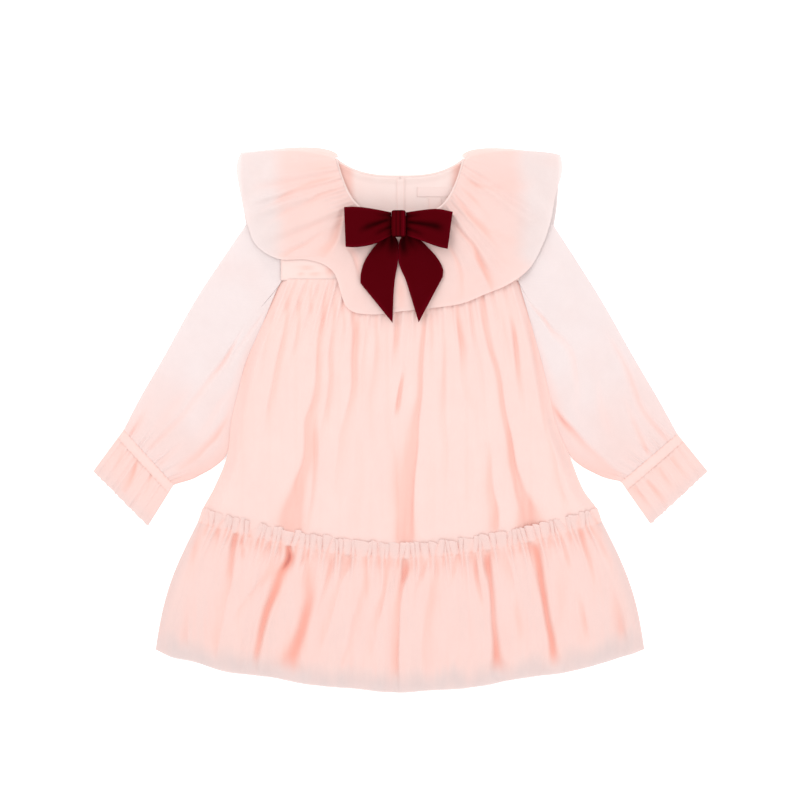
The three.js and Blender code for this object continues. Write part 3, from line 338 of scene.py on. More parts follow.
EdgePoint = namedtuple("EdgePoint", "round x y")
COLLAR_EDGE = [
    EdgePoint(0, -150, 252),
    EdgePoint(0.06, -154, 236),
    EdgePoint(0.12, -149, 207),
    EdgePoint(0.2, -143, 183),
    EdgePoint(0.27, -134, 163),
    EdgePoint(0.33, -113, 151),
    EdgePoint(0.385, -84, 150),
    EdgePoint(0.425, -62, 138),
    EdgePoint(0.455, -50, 106),
    EdgePoint(0.49, -28, 99),
    EdgePoint(0.53, 2, 102),
    EdgePoint(0.58, 30, 105),
    EdgePoint(0.63, 57, 109),
    EdgePoint(0.69, 80, 118),
    EdgePoint(0.75, 103, 128),
    EdgePoint(0.81, 122, 143),
    EdgePoint(0.87, 134.5, 166),
    EdgePoint(0.92, 141.5, 187),
    EdgePoint(0.96, 146.5, 212),
    EdgePoint(0.985, 153, 236),
    EdgePoint(1, 151, 250),
]
COLLAR_BACK_HALF = 149.5
COLLAR_BACK_TOP = 250
COLLAR_BACK_DEPTH = 147
COLLAR_BACK_POWER = 3

SleeveEdge = namedtuple("SleeveEdge", "along outer_x outer_y inner_x inner_y")
SLEEVE_EDGES = {
    "left": [
        SleeveEdge(0, -112.2, 235, -131.5, 91),
        SleeveEdge(0.18, -147, 181, -146, 58),
        SleeveEdge(0.4, -190, 117, -157, 14),
        SleeveEdge(0.62, -222, 60, -166, -34),
        SleeveEdge(0.82, -245, 20, -190, -53),
        SleeveEdge(1, -260, -9, -213, -61),
    ],
    "right": [
        SleeveEdge(0, 112.2, 235, 125.8, 91),
        SleeveEdge(0.18, 146, 181, 136, 58),
        SleeveEdge(0.4, 187, 117, 147, 14),
        SleeveEdge(0.62, 220, 59, 162, -34),
        SleeveEdge(0.82, 244, 18, 187, -52),
        SleeveEdge(1, 261, -13, 208, -58),
    ],
}
CuffCorners = namedtuple("CuffCorners", "outer_x outer_y inner_x inner_y")
CUFF_CORNERS = {
    "left": CuffCorners(-289, -48.5, -237.5, -100),
    "right": CuffCorners(290.5, -49.5, 237, -99.5),
}

# The bow's ribbon, from the knot outwards and downwards.
BOW_BASE = 12.45
TAILS_MEET_X = -1.5
LOOP_DEPTH = 10
KNOT_LEFT = -7.5
KNOT_RIGHT = 5
KNOT_LOW = 172
KNOT_HIGH = 195
KNOT_DEPTH = 15
# How far each loop's end leans outwards at its top.
LOOP_LEAN = {"left": -1.5, "right": 5}
LoopRow = namedtuple("LoopRow", "out x low high")
LOOPS = {
    "left": [
        LoopRow(0, -7.8, 173, 194),
        LoopRow(0.35, -24, 165, 197),
        LoopRow(0.7, -39, 162, 199),
        LoopRow(1, -51.4, 162, 199),
    ],
    "right": [
        LoopRow(0, 5.3, 173, 194),
        LoopRow(0.35, 20, 168, 196),
        LoopRow(0.7, 34, 163, 197),
        LoopRow(1, 46, 160, 194.5),
    ],
}
TailRow = namedtuple("TailRow", "down left_x left_y right_x right_y")
TAILS = {
    "left": [
        TailRow(0, -12, 177, -6.5, 177),
        TailRow(0.2, -22, 165, -3, 160),
        TailRow(0.45, -32, 151, -3.5, 145),
        TailRow(0.75, -36.5, 138, -6, 118),
        TailRow(1, -37, 128, -7, 91),
    ],
    "right": [
        TailRow(0, 4, 177, 9, 177),
        TailRow(0.2, -1, 158, 22, 166),
        TailRow(0.45, 2, 143, 34, 153),
        TailRow(0.75, 9.5, 118, 40, 142),
        TailRow(1, 17.5, 91.5, 40, 134),
    ],
}
Strip = namedtuple("Strip", "left right bottom top")
PLACKET = Strip(-3.5, 4.5, 133, 227)
LABELS = {
    "label_main": Strip(16, 52, 210, 219),
    "label_size": Strip(27, 39, 197, 209),
}

# Painted shade of short creases on the yoke beside the collar's edge, which the cloth's shape does not have:
# the middle and the reach of each.
YokeCreaseShade = namedtuple("YokeCreaseShade", "x y reach_x reach_y")
YOKE_CREASE_SHADES = [
    YokeCreaseShade(-87, 143, 7, 2),
    YokeCreaseShade(-93, 137, 3, 1.6),
    YokeCreaseShade(-80, 137, 6, 2),
    YokeCreaseShade(-66, 140, 4, 5),
]
# Creases of the bow's loops, which also carry painted shade: where they start and end going out, how far down
# the ribbon they are at the knot and at the loop's end, and how deep they are.
LoopCrease = namedtuple("LoopCrease", "start end at_knot at_end depth")
LOOP_CREASES = {
    "left": [
        LoopCrease(0.05, 0.75, 0.3, 0.72, 1),
        LoopCrease(0, 0.45, 0.62, 0.95, 0.6),
        LoopCrease(0, 0.4, 0.15, 0.2, 0.5),
    ],
    "right": [
        LoopCrease(0.05, 0.95, 0.42, 0.5, 1),
        LoopCrease(0, 0.5, 0.7, 0.95, 0.6),
        LoopCrease(0, 0.4, 0.18, 0.15, 0.5),
    ],
}


# Plain maths.


def clamp(value):
    return min(1.0, max(0.0, value))


def mix(a, b, share):
    return a + (b - a) * share


def smooth(start, end, value):
    share = clamp((value - start) / (end - start))
    return share * share * (3 - 2 * share)


def bell(off):
    return math.exp(-off * off)


def wave(turns):
    return math.cos(2 * math.pi * turns)


def power(value, exponent):
    """A power that keeps the sign of its base."""
    return math.copysign(abs(value) ** exponent, value)


def uneven(across, count, seed):
    """Where a place stands in a row of gathers, in turns, so that no two gathers are alike."""
    return across * count + 0.22 * math.sin(across * 23 + seed) + 0.16 * math.sin(across * 41 + 2.3 * seed)


def ripple(x, y, scale_x, scale_y, seed):
    """Smooth noise between -1 and 1, stretched along either direction."""
    return noise.noise(Vector((x / scale_x, y / scale_y, seed)))


def read(table, key, column, at):
    """One column of a table at a key between its rows, on a smooth curve through them."""
    last = len(table) - 2
    i = last
    for n, row in enumerate(table):
        if getattr(row, key) > at:
            i = min(max(n - 1, 0), last)
            break

    def slope(n):
        a = table[max(n - 1, 0)]
        b = table[min(n + 1, last + 1)]
        return (getattr(b, column) - getattr(a, column)) / (getattr(b, key) - getattr(a, key))

    first, second = table[i], table[i + 1]
    span = getattr(second, key) - getattr(first, key)
    t = clamp((at - getattr(first, key)) / span)
    t2, t3 = t * t, t * t * t
    return (
        (2 * t3 - 3 * t2 + 1) * getattr(first, column)
        + (t3 - 2 * t2 + t) * span * slope(i)
        + (3 * t2 - 2 * t3) * getattr(second, column)
        + (t3 - t2) * span * slope(i + 1)
    )


@lru_cache(maxsize=None)
def body_puff(down):
    return read(BODY_PUFF, "down", "height", down)


@lru_cache(maxsize=None)
def collar_edge(round_neck):
    return read(COLLAR_EDGE, "round", "x", round_neck), read(COLLAR_EDGE, "round", "y", round_neck)


# The dress's plan.


def shoulder_y(x):
    drop = (abs(x) - NECK_HALF_WIDTH) / (SHOULDER_HALF_WIDTH - NECK_HALF_WIDTH)
    return SHOULDER_NECK_Y - SHOULDER_DROP * drop


def front_neck_y(x):
    return FRONT_NECK_Y + (SHOULDER_NECK_Y - FRONT_NECK_Y) * (abs(x) / NECK_HALF_WIDTH) ** FRONT_NECK_POWER


def back_neck_y(x):
    return BACK_NECK_Y + (SHOULDER_NECK_Y - BACK_NECK_Y) * (abs(x) / NECK_HALF_WIDTH) ** BACK_NECK_POWER


def tier_seam_y(x):
    return TIER_SEAM_Y + TIER_SEAM_RISE * abs(x / TIER_SEAM_HALF) ** TIER_SEAM_POWER


def hem_y(x):
    """The hem rises to its corners, dips a little before both, and again at the left one."""
    out = abs(x / HEM_HALF)
    scallop = math.sin(x / 17 + 0.6) * math.sin(x / 41)
    dips = HEM_DIP * bell((out - 0.75) / 0.15) + LEFT_HEM_DIP * bell((x / HEM_HALF + 0.93) / 0.06)
    return HEM_Y + HEM_RISE * out**HEM_POWER + scallop - dips


def neck_point(curve, round_neck, outside):
    """A place outside the neck opening's edge, from its left end, 0, to its right end, 1."""
    x = -NECK_HALF_WIDTH * math.cos(math.pi * round_neck)
    x0 = max(x - 0.01, -NECK_HALF_WIDTH)
    x1 = min(x + 0.01, NECK_HALF_WIDTH)
    along = Vector((x1 - x0, curve(x1) - curve(x0))).normalized()
    return x + along.y * outside, curve(x) - along.x * outside


def lift(x, y):
    """How far the collar's back and the back tier's heading lift what lies on them."""
    out = math.hypot(
        abs(x / COLLAR_BACK_HALF) ** (COLLAR_BACK_POWER / 2),
        max(0.0, (COLLAR_BACK_TOP - y) / COLLAR_BACK_DEPTH) ** (COLLAR_BACK_POWER / 2),
    )
    collar = 1 - smooth(1.18, 1.38, out)
    above_seam = y - tier_seam_y(x)
    heading = smooth(-12, -2, above_seam) * (1 - smooth(HEADING + 3, HEADING + 16, above_seam))
    return LAYER * max(collar, heading if abs(x) < TIER_SEAM_HALF + 12 else 0)


def body_plan(across, down):
    rough_y = mix(YOKE_SEAM_Y, mix(TIER_SEAM_Y, BODY_CORNER_Y, (2 * across - 1) ** 2), down)
    left = read(BODY_SIDES, "y", "left", rough_y)
    x = mix(left, read(BODY_SIDES, "y", "right", rough_y), across)
    return x, mix(YOKE_SEAM_Y + YOKE_OVERLAP, tier_seam_y(x) + SEWN, down)


def tier_plan(across, down):
    """down is 0 at the seam, 1 at the hem, and under 0 in the heading above the seam."""
    seam_x = mix(-TIER_SEAM_HALF, TIER_SEAM_HALF, across)
    hem_x = mix(-HEM_HALF, HEM_HALF, across)
    swell = TIER_SIDE_SWELL * math.sin(math.pi * clamp(down)) * (2 * across - 1) ** 3
    fall = math.hypot(hem_x - seam_x, hem_y(hem_x) - tier_seam_y(seam_x))
    share = down * HEADING / fall if down < 0 else down
    return mix(seam_x, hem_x, share) + swell, mix(tier_seam_y(seam_x), hem_y(hem_x), share)


def collar_plan(round_neck, down):
    from_fold = min(round_neck, 1 - round_neck)
    outside = mix(-1, BINDING_WIDTH / 2, smooth(0, 0.02, from_fold))
    neck_x, neck_y = neck_point(front_neck_y, round_neck, outside)
    edge_x, edge_y = collar_edge(round_neck)
    near_fold = 1 - smooth(0, 0.08, from_fold)
    crest = (1.5 * (1 - down) + 22 * down**0.5 * (1 - down) ** 1.3) * near_fold
    return mix(neck_x, edge_x, down), mix(neck_y, edge_y, down) + crest


def collar_base(x, y):
    """The level that the collar lies on: high over the body, and low past the sleeve."""
    over_body = 8 + 3.2 * smooth(156, 128, y)
    over_sleeve = mix(over_body, 8.2, smooth(116, 128, abs(x)))
    sleeve_edge = SHOULDER_HALF_WIDTH + SLEEVE_SLOPE * (SLEEVE_TOP_Y - y)
    return mix(over_sleeve, LAYER + 0.2, smooth(2, 24, abs(x) - sleeve_edge))


@lru_cache(maxsize=None)
def body_side(hand, y):
    """The x of the body's side edge at a height, found by closing in on the row that ends there."""
    rough_y = y
    for _ in range(4):
        x = read(BODY_SIDES, "y", hand, rough_y)
        share = (YOKE_SEAM_Y - y) / (YOKE_SEAM_Y - tier_seam_y(x))
        rough_y = mix(YOKE_SEAM_Y, BODY_CORNER_Y, share)
    return x


@lru_cache(maxsize=None)
def sleeve_ends(hand, along):
    """The outer and the inner edge of a sleeve. Down to the notch the inner one lies against the body."""
    table = SLEEVE_EDGES[hand]
    outer_x, outer_y, inner_x, inner_y = (
        read(table, "along", column, along) for column in ("outer_x", "outer_y", "inner_x", "inner_y")
    )
    if along > 0:
        side = math.copysign(1, inner_x)
        beside_body = body_side(hand, inner_y) + side * SEWN
        inner_x = mix(beside_body, inner_x, smooth(-26, -44, inner_y))
    return outer_x, outer_y, inner_x, inner_y


@lru_cache(maxsize=None)
def armhole_shift(hand, across):
    """How far the armhole's curve stands in from the straight line between a sleeve's two edges."""
    start = SLEEVE_EDGES[hand][0]
    side = math.copysign(1, start.outer_x)
    y = mix(start.inner_y, start.outer_y, across)
    beside_body = side * body_side(hand, y) if y < YOKE_SEAM_Y else 0
    armhole = side * (max(beside_body, SHOULDER_HALF_WIDTH) + SEWN)
    return armhole - mix(start.inner_x, start.outer_x, across)


@lru_cache(maxsize=None)
def cuff_ends(hand, start, end, along):
    """The two edges of a stretch of cuff, from start to end in millimetres past the sleeve's end."""
    sleeve = SLEEVE_EDGES[hand][-1]
    corners = CUFF_CORNERS[hand]
    outer = math.hypot(corners.outer_x - sleeve.outer_x, corners.outer_y - sleeve.outer_y)
    inner = math.hypot(corners.inner_x - sleeve.inner_x, corners.inner_y - sleeve.inner_y)
    share = min(1.02, mix(start, end, along) / ((outer + inner) / 2))
    return [mix(getattr(sleeve, name), getattr(corners, name), share) for name in CuffCorners._fields]


def sleeve_plan(hand, across, along):
    outer_x, outer_y, inner_x, inner_y = sleeve_ends(hand, along)
    shift = (1 - smooth(0, 0.25, along)) * armhole_shift(hand, across)
    return mix(inner_x, outer_x, across) + shift, mix(inner_y, outer_y, across)


def cuff_plan(hand, across, along):
    outer_x, outer_y, inner_x, inner_y = cuff_ends(hand, CUFF_BAND + SEWN, CUFF_END, along)
    return mix(inner_x, outer_x, across), mix(inner_y, outer_y, across)


PLANS = {
    "body": body_plan,
    "tier": tier_plan,
    "collar": collar_plan,
    "sleeve_left": partial(sleeve_plan, "left"),
    "sleeve_right": partial(sleeve_plan, "right"),
    "cuff_left": partial(cuff_plan, "left"),
    "cuff_right": partial(cuff_plan, "right"),
}


# Folds.


def find_on(plan, x, y):
    """The across and down of a place on a panel, by Newton's method from the nearest of a few starts."""

    def off(start):
        there_x, there_y = plan(*start)
        return math.hypot(there_x - x, there_y - y)

    starts = [(across / 10, down / 6) for across in range(1, 10) for down in range(1, 6)]
    across, down = min(starts, key=off)
    small = 1e-4
    margin = 0.005
    for _ in range(8):
        x0, y0 = plan(across, down)
        xa, ya = plan(across + small, down)
        xd, yd = plan(across, down + small)
        xa, ya, xd, yd = (xa - x0) / small, (ya - y0) / small, (xd - x0) / small, (yd - y0) / small
        turned = xa * yd - xd * ya
        across += clamp(0.5 + (yd * (x - x0) - xd * (y - y0)) / turned) - 0.5
        down += clamp(0.5 + (xa * (y - y0) - ya * (x - x0)) / turned) - 0.5
        across = min(1 - margin, max(margin, across))
        down = min(1 - margin, max(margin, down))
    return across, down


@lru_cache(maxsize=None)
def panel_folds(panel):
    """A panel's traced folds, in shares of the panel."""
    folds = []
    for traced in TRACED_FOLDS[panel]:
        rows = []
        for point in (TracedPoint(*point) for point in traced):
            x, y = (point.column - MIDDLE_COLUMN) * PIXEL, (MIDDLE_ROW - point.row) * PIXEL
            across, down = find_on(PLANS[panel], x, y)
            reach = (point.right, point.left) if panel.endswith("left") else (point.left, point.right)
            rows.append(FoldRow(down, across, point.depth, *reach))
        rows.sort()
        spaced = rows[:1]
        for row in rows[1:]:
            if row.down - spaced[-1].down > 0.012:
                spaced.append(row)
        if len(spaced) > 1:
            folds.append(spaced)
    return folds


@lru_cache(maxsize=None)
def folds_at(panel, down):
    """The folds that cross a row of a panel: across, depth, and reach on either side."""
    crossing = []
    for rows in panel_folds(panel):
        start, end = rows[0].down, rows[-1].down
        inside = smooth(start - 0.05, start + 0.01, down) * (1 - smooth(end - 0.01, end + 0.04, down))
        if inside > 0:
            across, depth, before, after = (
                read(rows, "down", column, down) for column in ("across", "depth", "before", "after")
            )
            crossing.append((across, max(0.0, depth) * inside, max(0.8, before), max(0.8, after)))
    return crossing


def fold_shape(panel, across, down, width):
    """How deep the folds are here, less the lips along them, and how shaded, on a panel of this width."""
    deep = shade = 0.0
    for centre, depth, before, after in folds_at(panel, down):
        off = (across - centre) * width
        off /= before if off < 0 else after
        off = abs(off)
        if off < 3.4:
            deep += min(depth, DEEPEST) * (math.exp(-(off**2.2)) - 0.16 * bell((off - 2) / 0.7))
            shade += (1 - math.exp(-depth / SHADING_DEPTH)) * bell(0.68 * off)
    return 0.6 * deep, shade


# The gathered cloth.


def body_front_at(across, down):
    x, y = body_plan(across, down)
    width = mix(2 * YOKE_SEAM_HALF, 2 * TIER_SEAM_HALF, down)
    above_seam = 1 - smooth(0.93, 1, down)
    near_yoke = 1 - smooth(0.03, 0.28, down)
    deep, shade = fold_shape("body", across, down, width)
    gather = wave(uneven(across, BODY_GATHERS, 1))
    fine = wave(uneven(across, BODY_PUCKERS, 7))
    rise = body_puff(down) - deep * smooth(0, 0.06, down) * above_seam
    rise += mix(0.7, 0.1, smooth(0.05, 0.45, down)) * above_seam * gather
    rise += (0.3 * near_yoke + 0.02) * fine + 0.5 * above_seam * ripple(x, y, 9, 90, 3)
    rise = mix(0.3, rise, smooth(0, 0.03, down))
    at_side = smooth(0, 0.045, across) * smooth(0, 0.045, 1 - across)
    z = lift(x, y) + mix(LAYER, FRONT + max(0.2, rise), at_side) + PLEATED_CLOTH / 2
    # Painted shade in the traced folds, in the gathers below the yoke, above the tier's heading and along the
    # sides, with random streaks of it.
    hollow = min(1.15 * shade, 0.39 + 0.15 * shade) + near_yoke * (0.07 * (1 - fine) + 0.06 * (1 - gather))
    hollow += 0.1 * smooth(0.93, 0.985, down) + 0.14 * max(0, ripple(x, y, 5, 60, 8))
    hollow += 0.15 * bell(min(across, 1 - across) * width / 4)
    return x, y, z, hollow, 0.0


def frill_turns(across):
    return uneven(across, FRILLS, 5) + 0.12 * math.sin(across * 71) + 0.2 * math.sin(across * 163)


def tier_heading_at(across, up):
    """The frill that stands above the tier's seam, by its share of the height above the seam."""
    x, y = tier_plan(across, -up)
    side = smooth(0, 0.03, across) * smooth(0, 0.03, 1 - across)
    frill = frill_turns(across) + 0.3 * up * math.sin(across * 71)
    pair = 0.5 * frill + 0.3 * math.sin(across * 57)
    ruffle = (0.4 + 0.8 * up) * wave(frill) + (0.3 + 0.6 * up) * wave(pair)
    standing = FRONT + PLEATED_CLOTH + GAP + 1.4 + 1.1 * up
    z = mix(LAYER + PLEATED_CLOTH + GAP, standing + ruffle, side)
    lean = side * up * (2.1 * math.sin(2 * math.pi * frill) + 1.8 * math.sin(across * 139))
    y += side * up * (1.2 * wave(frill + 0.1) + 2.6 * ripple(x, 0, 9, 1, 5))
    # Painted shade in the frill's hollows and at its foot, with random patches of it.
    hollow = 0.36 * (0.5 - 0.5 * wave(frill)) ** 2 * (1.15 - up) + 0.1 * (1 - smooth(0, 0.25, up))
    hollow += 0.2 * max(0, ripple(x, y, 5, 5, 21))
    pale = 0.25 * up * (0.5 + 0.5 * wave(frill))
    return x + lean, y, z + lift(x, y) + PLEATED_CLOTH / 2, hollow, pale


def tier_front_at(across, share):
    if share < HEADING_SHARE:
        return tier_heading_at(across, 1 - share / HEADING_SHARE)
    down = (share - HEADING_SHARE) / (1 - HEADING_SHARE)
    x, y = tier_plan(across, down)
    width = mix(2 * TIER_SEAM_HALF, 2 * HEM_HALF, down)
    side = smooth(0, 0.03, across) * smooth(0, 0.03, 1 - across)
    turns = uneven(across, TIER_GATHERS, 2)
    frill = frill_turns(across)
    deep, shade = fold_shape("tier", across, down, width)
    near_seam = 1 - smooth(0.02, 0.26, down)
    rise = mix(3.2, 6.6, smooth(0, 0.35, down)) - 1.6 * smooth(0.7, 1, down) - 0.8 * deep
    rise += mix(0.9, 0.25, smooth(0, 0.6, down)) * wave(turns) + 0.6 * near_seam * wave(frill)
    rise += 1.2 * smooth(0.1, 0.9, down) * wave(turns / 2 + 0.2) + 0.8 * ripple(x, y, 11, 60, 9)
    level = mix(FRONT, LAYER + 0.4, smooth(0.76, 1, down))
    z = mix(LAYER, level + max(0.2, rise), side)
    # Painted shade in the folds, along the gathered seam and at the sides, with random streaks of it.
    gathered = bell((down - 0.03) / 0.05)
    small = near_seam * (0.06 * (1 - wave(frill)) + 0.04 * (1 - wave(turns)))
    small += 0.2 * gathered * max(0, ripple(x, 0, 3, 1, 14)) + 0.12 * gathered * (1 - wave(frill))
    small += 0.22 * max(0, ripple(x, y, 7, 45, 6)) + 0.16 * max(0, ripple(x, y, 3, 30, 33))
    hollow = shade + small * max(0, 1 - 1.4 * shade) + 0.1 * (1 - side)
    # Past the lining's end the net takes the hem's sheer colour, which is partly painted shade under the
    # band.
    uneven_hem = 0.008 * math.sin(x / 23) + 0.02 * ripple(x, 0, 6, 1, 31) + 0.05 * ripple(x, 0, 19, 1, 6)
    near_side = 1 - smooth(0, 0.14, min(across, 1 - across))
    unlined = smooth(0.79 - 0.1 * near_side, 0.97, down + uneven_hem) * (0.9 + 0.3 * ripple(x, y, 12, 30, 17))
    unlined = max(unlined, 0.6 * (1 - side), 0.35 * near_side * smooth(0.3, 0.9, down))
    return x, y, lift(x, y) + z + PLEATED_CLOTH / 2, hollow, unlined


def front_binding_level(along):
    return 3.4 + 3.4 * smooth(0, 0.3, along) * smooth(0, 0.3, 1 - along)


def collar_front_at(round_neck, down):
    x, y = collar_plan(round_neck, down)
    from_fold = min(round_neck, 1 - round_neck)
    beside_bow = smooth(0.16, 0.25, abs(round_neck - 0.5))
    turns = uneven(round_neck, COLLAR_GATHERS, 3)
    fine = wave(uneven(round_neck, COLLAR_PUCKERS, 8))
    gather = mix(0.6, 1.5, down) * (1 + wave(turns)) * smooth(0, 0.1, from_fold)
    gather *= 1 - 0.9 * smooth(0.7, 1, down)
    puff = 2.4 * math.sin(math.pi * down) * mix(0.2, 1, beside_bow)
    length = mix(COLLAR_NECK_LENGTH, COLLAR_EDGE_LENGTH, down)
    deep, shade = fold_shape("collar", round_neck, down, length)
    near_neck = 1 - smooth(0.08, 0.42, down)
    fold = smooth(0, 0.065, from_fold)
    rise = puff + gather * mix(0.15, 1, beside_bow) - 0.6 * deep
    z = mix(LAYER, collar_base(x, y) + max(0, rise), fold)
    z += (0.16 * near_neck * fine + 0.3 * ripple(x, y, 16, 16, 4)) * fold - 0.9 * smooth(0.9, 1, down) * fold
    over_binding = front_binding_level(round_neck) + BINDING_DEPTH + 0.3 - PLEATED_CLOTH / 2
    at_binding = (1 - smooth(0, 0.06, down)) * smooth(0, 0.018, from_fold)
    z = mix(z, max(z, over_binding), at_binding)
    # Painted shade in the folds, the bow's shade among them, and in the gathers near the neck, with random
    # patches of it.
    hollow = shade + 0.07 * near_neck * (1 - fine) + 0.12 * max(0, ripple(x, y, 22, 14, 12))
    over_sleeve = smooth(SHOULDER_HALF_WIDTH - 9, SHOULDER_HALF_WIDTH + 12, abs(x)) * smooth(125, 160, y)
    top_edge = smooth(0.72, 1, down) * smooth(225, 245, y)
    pale = clamp(max(over_sleeve, 0.8 * top_edge) + 0.25 * ripple(x, y, 18, 18, 27))
    pale = 0.85 * pale * (1 - min(1, 1.3 * shade))
    return x, y, z + PLEATED_CLOTH / 2, hollow * (1 - 0.2 * pale), pale


def flat_tube_at(ends, top, turn_share, shift=0.0):
    """A place on a tube pressed flat. top is the height of its upper layer there."""
    outer_x, outer_y, inner_x, inner_y = ends
    turn = 2 * math.pi * turn_share
    half_wall = CLOTH / 2
    across = (1 - math.cos(turn)) / 2
    x = mix(inner_x, outer_x, across) + shift
    y = mix(inner_y, outer_y, across)
    round_edge = abs(math.sin(turn))
    if math.sin(turn) > 0:
        z = mix(TUBE_EDGE, top - half_wall, round_edge ** mix(1.1, 0.6, smooth(0, 0.3, across)))
    else:
        z = mix(TUBE_EDGE, half_wall, round_edge**0.35)
    return x, y, lift(x, y) + z


def sleeve_at(hand, turn_share, along):
    across = (1 - math.cos(2 * math.pi * turn_share)) / 2
    width = mix(SLEEVE_TOP_WIDTH, SLEEVE_END_WIDTH, along)
    deep, shade = fold_shape(f"sleeve_{hand}", across, along, width)
    near_cuff = smooth(0.78, 1, along)
    pleats = wave(uneven(across, SLEEVE_PLEATS, 4))
    at_armhole = 1 - smooth(0, 0.09, along)
    top = mix(4.6 + 0.6 * smooth(0, 0.2, along), 4.3, at_armhole) + 0.9 * math.sin(math.pi * along)
    top += 0.6 * near_cuff * pleats - 0.9 * deep
    shift = (1 - smooth(0, 0.25, along)) * armhole_shift(hand, across)
    upper = 1 if turn_share < 0.5 else 0
    x, y, z = flat_tube_at(sleeve_ends(hand, along), max(1.9, top), turn_share, shift)
    z += 0.35 * upper * ripple(x, y, 20, 34, 2)
    beside_body = (1 - smooth(0.02, 0.2, across)) * smooth(0.05, 0.2, along)
    # Painted shade in the folds, between the pleats near the cuff, at the armhole and beside the body,
    # fainter on the lower layer.
    hollow = (1.5 * shade + 0.08 * near_cuff * (1 - pleats)) * mix(0.3, 1, upper)
    hollow += 0.12 * at_armhole * (1 - smooth(0.35, 0.75, across)) + 0.2 * beside_body
    hollow += 0.12 * bell(across * 60) * smooth(0.05, 0.2, along)
    pale = 1 - 0.62 * smooth(0.3, 0.95, along + 0.25 * (0.5 - across)) - 0.35 * beside_body
    pale += 0.2 * ripple(x, y, 30, 40, 15)
    return x, y, z, hollow, pale * (1 - min(1, 1.1 * shade * upper))


# Making a piece of cloth.


# What each vertex carries: its painted shade, which grows as it lies deeper in a fold or under other parts,
# and how pale it is, which on the velvet is a painted highlight.
PAINTED = ("hollow", "pale")


def cloth_piece(name, columns, rows, place, cut, tube=False):
    """A sheet made from a grid. place(across, down) gives x, y and z in millimetres, then what is PAINTED.

    cut is the width and length in metres of the cloth that shows, which its weave spans.
    """
    mesh = bmesh.new()
    bmesh.ops.create_grid(mesh, x_segments=columns, y_segments=rows, size=0.5)
    for name_painted in PAINTED:
        mesh.verts.layers.float.new(name_painted)
    layers = [mesh.verts.layers.float[name_painted] for name_painted in PAINTED]
    weave = mesh.loops.layers.uv.new("weave")
    flat = {}
    for vert in mesh.verts:
        across, down = round(vert.co.x + 0.5, 6), round(0.5 - vert.co.y, 6)
        flat[vert] = (across * cut[0], -down * cut[1])
        x, y, z, *painted = place(across, down)
        vert.co = (x * MM, y * MM, z * MM)
        for layer, value in zip(layers, painted):
            vert[layer] = clamp(value)
    for face in mesh.faces:
        face.smooth = True
        for loop in face.loops:
            loop[weave].uv = flat[loop.vert]
    if tube:
        bmesh.ops.remove_doubles(mesh, verts=mesh.verts, dist=1e-6)
    bmesh.ops.recalc_face_normals(mesh, faces=mesh.faces)
    return finish_piece(mesh, f"{name}_cloth")


def finish_piece(mesh, name):
    """Makes an object that rides with the dress."""
    data = bpy.data.meshes.new(name)
    mesh.to_mesh(data)
    mesh.free()
    piece = bpy.data.objects.new(name, data)
    bpy.context.scene.collection.objects.link(piece)
    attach(piece, "root")
    return piece


def thicken(piece, thickness):
    """Gives a sheet the thickness of its cloth, half to each side."""
    wall = piece.modifiers.new("Thickness", "SOLIDIFY")
    wall.thickness = thickness
    wall.offset = 0
    wall.use_even_offset = False
    wall.use_rim = True


def dress(piece, node, material):
    """Puts a piece in a solid's place, with its material."""
    piece.data.materials.append(material)
    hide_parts(node)


def declare(cut, carries=()):
    """Works out a cut's area from its width and length and the share of them that the cut fills, and uses it
    no further.
    """
    width, length, *share = cut
    area = share[0] * width * length if share else None


# Shader maths.


class Wire:
    """A number socket that arithmetic adds Math nodes to."""

    def __init__(self, finish, socket):
        self.finish = finish
        self.socket = socket

    def _math(self, operation, first, second):
        return self.finish.node("ShaderNodeMath", {"operation": operation}, {0: first, 1: second})

    def __add__(self, other):
        return self._math("ADD", self, other)

    def __radd__(self, other):
        return self._math("ADD", other, self)

    def __sub__(self, other):
        return self._math("SUBTRACT", self, other)

    def __rsub__(self, other):
        return self._math("SUBTRACT", other, self)

    def __mul__(self, other):
        return self._math("MULTIPLY", self, other)

    def __rmul__(self, other):
        return self._math("MULTIPLY", other, self)


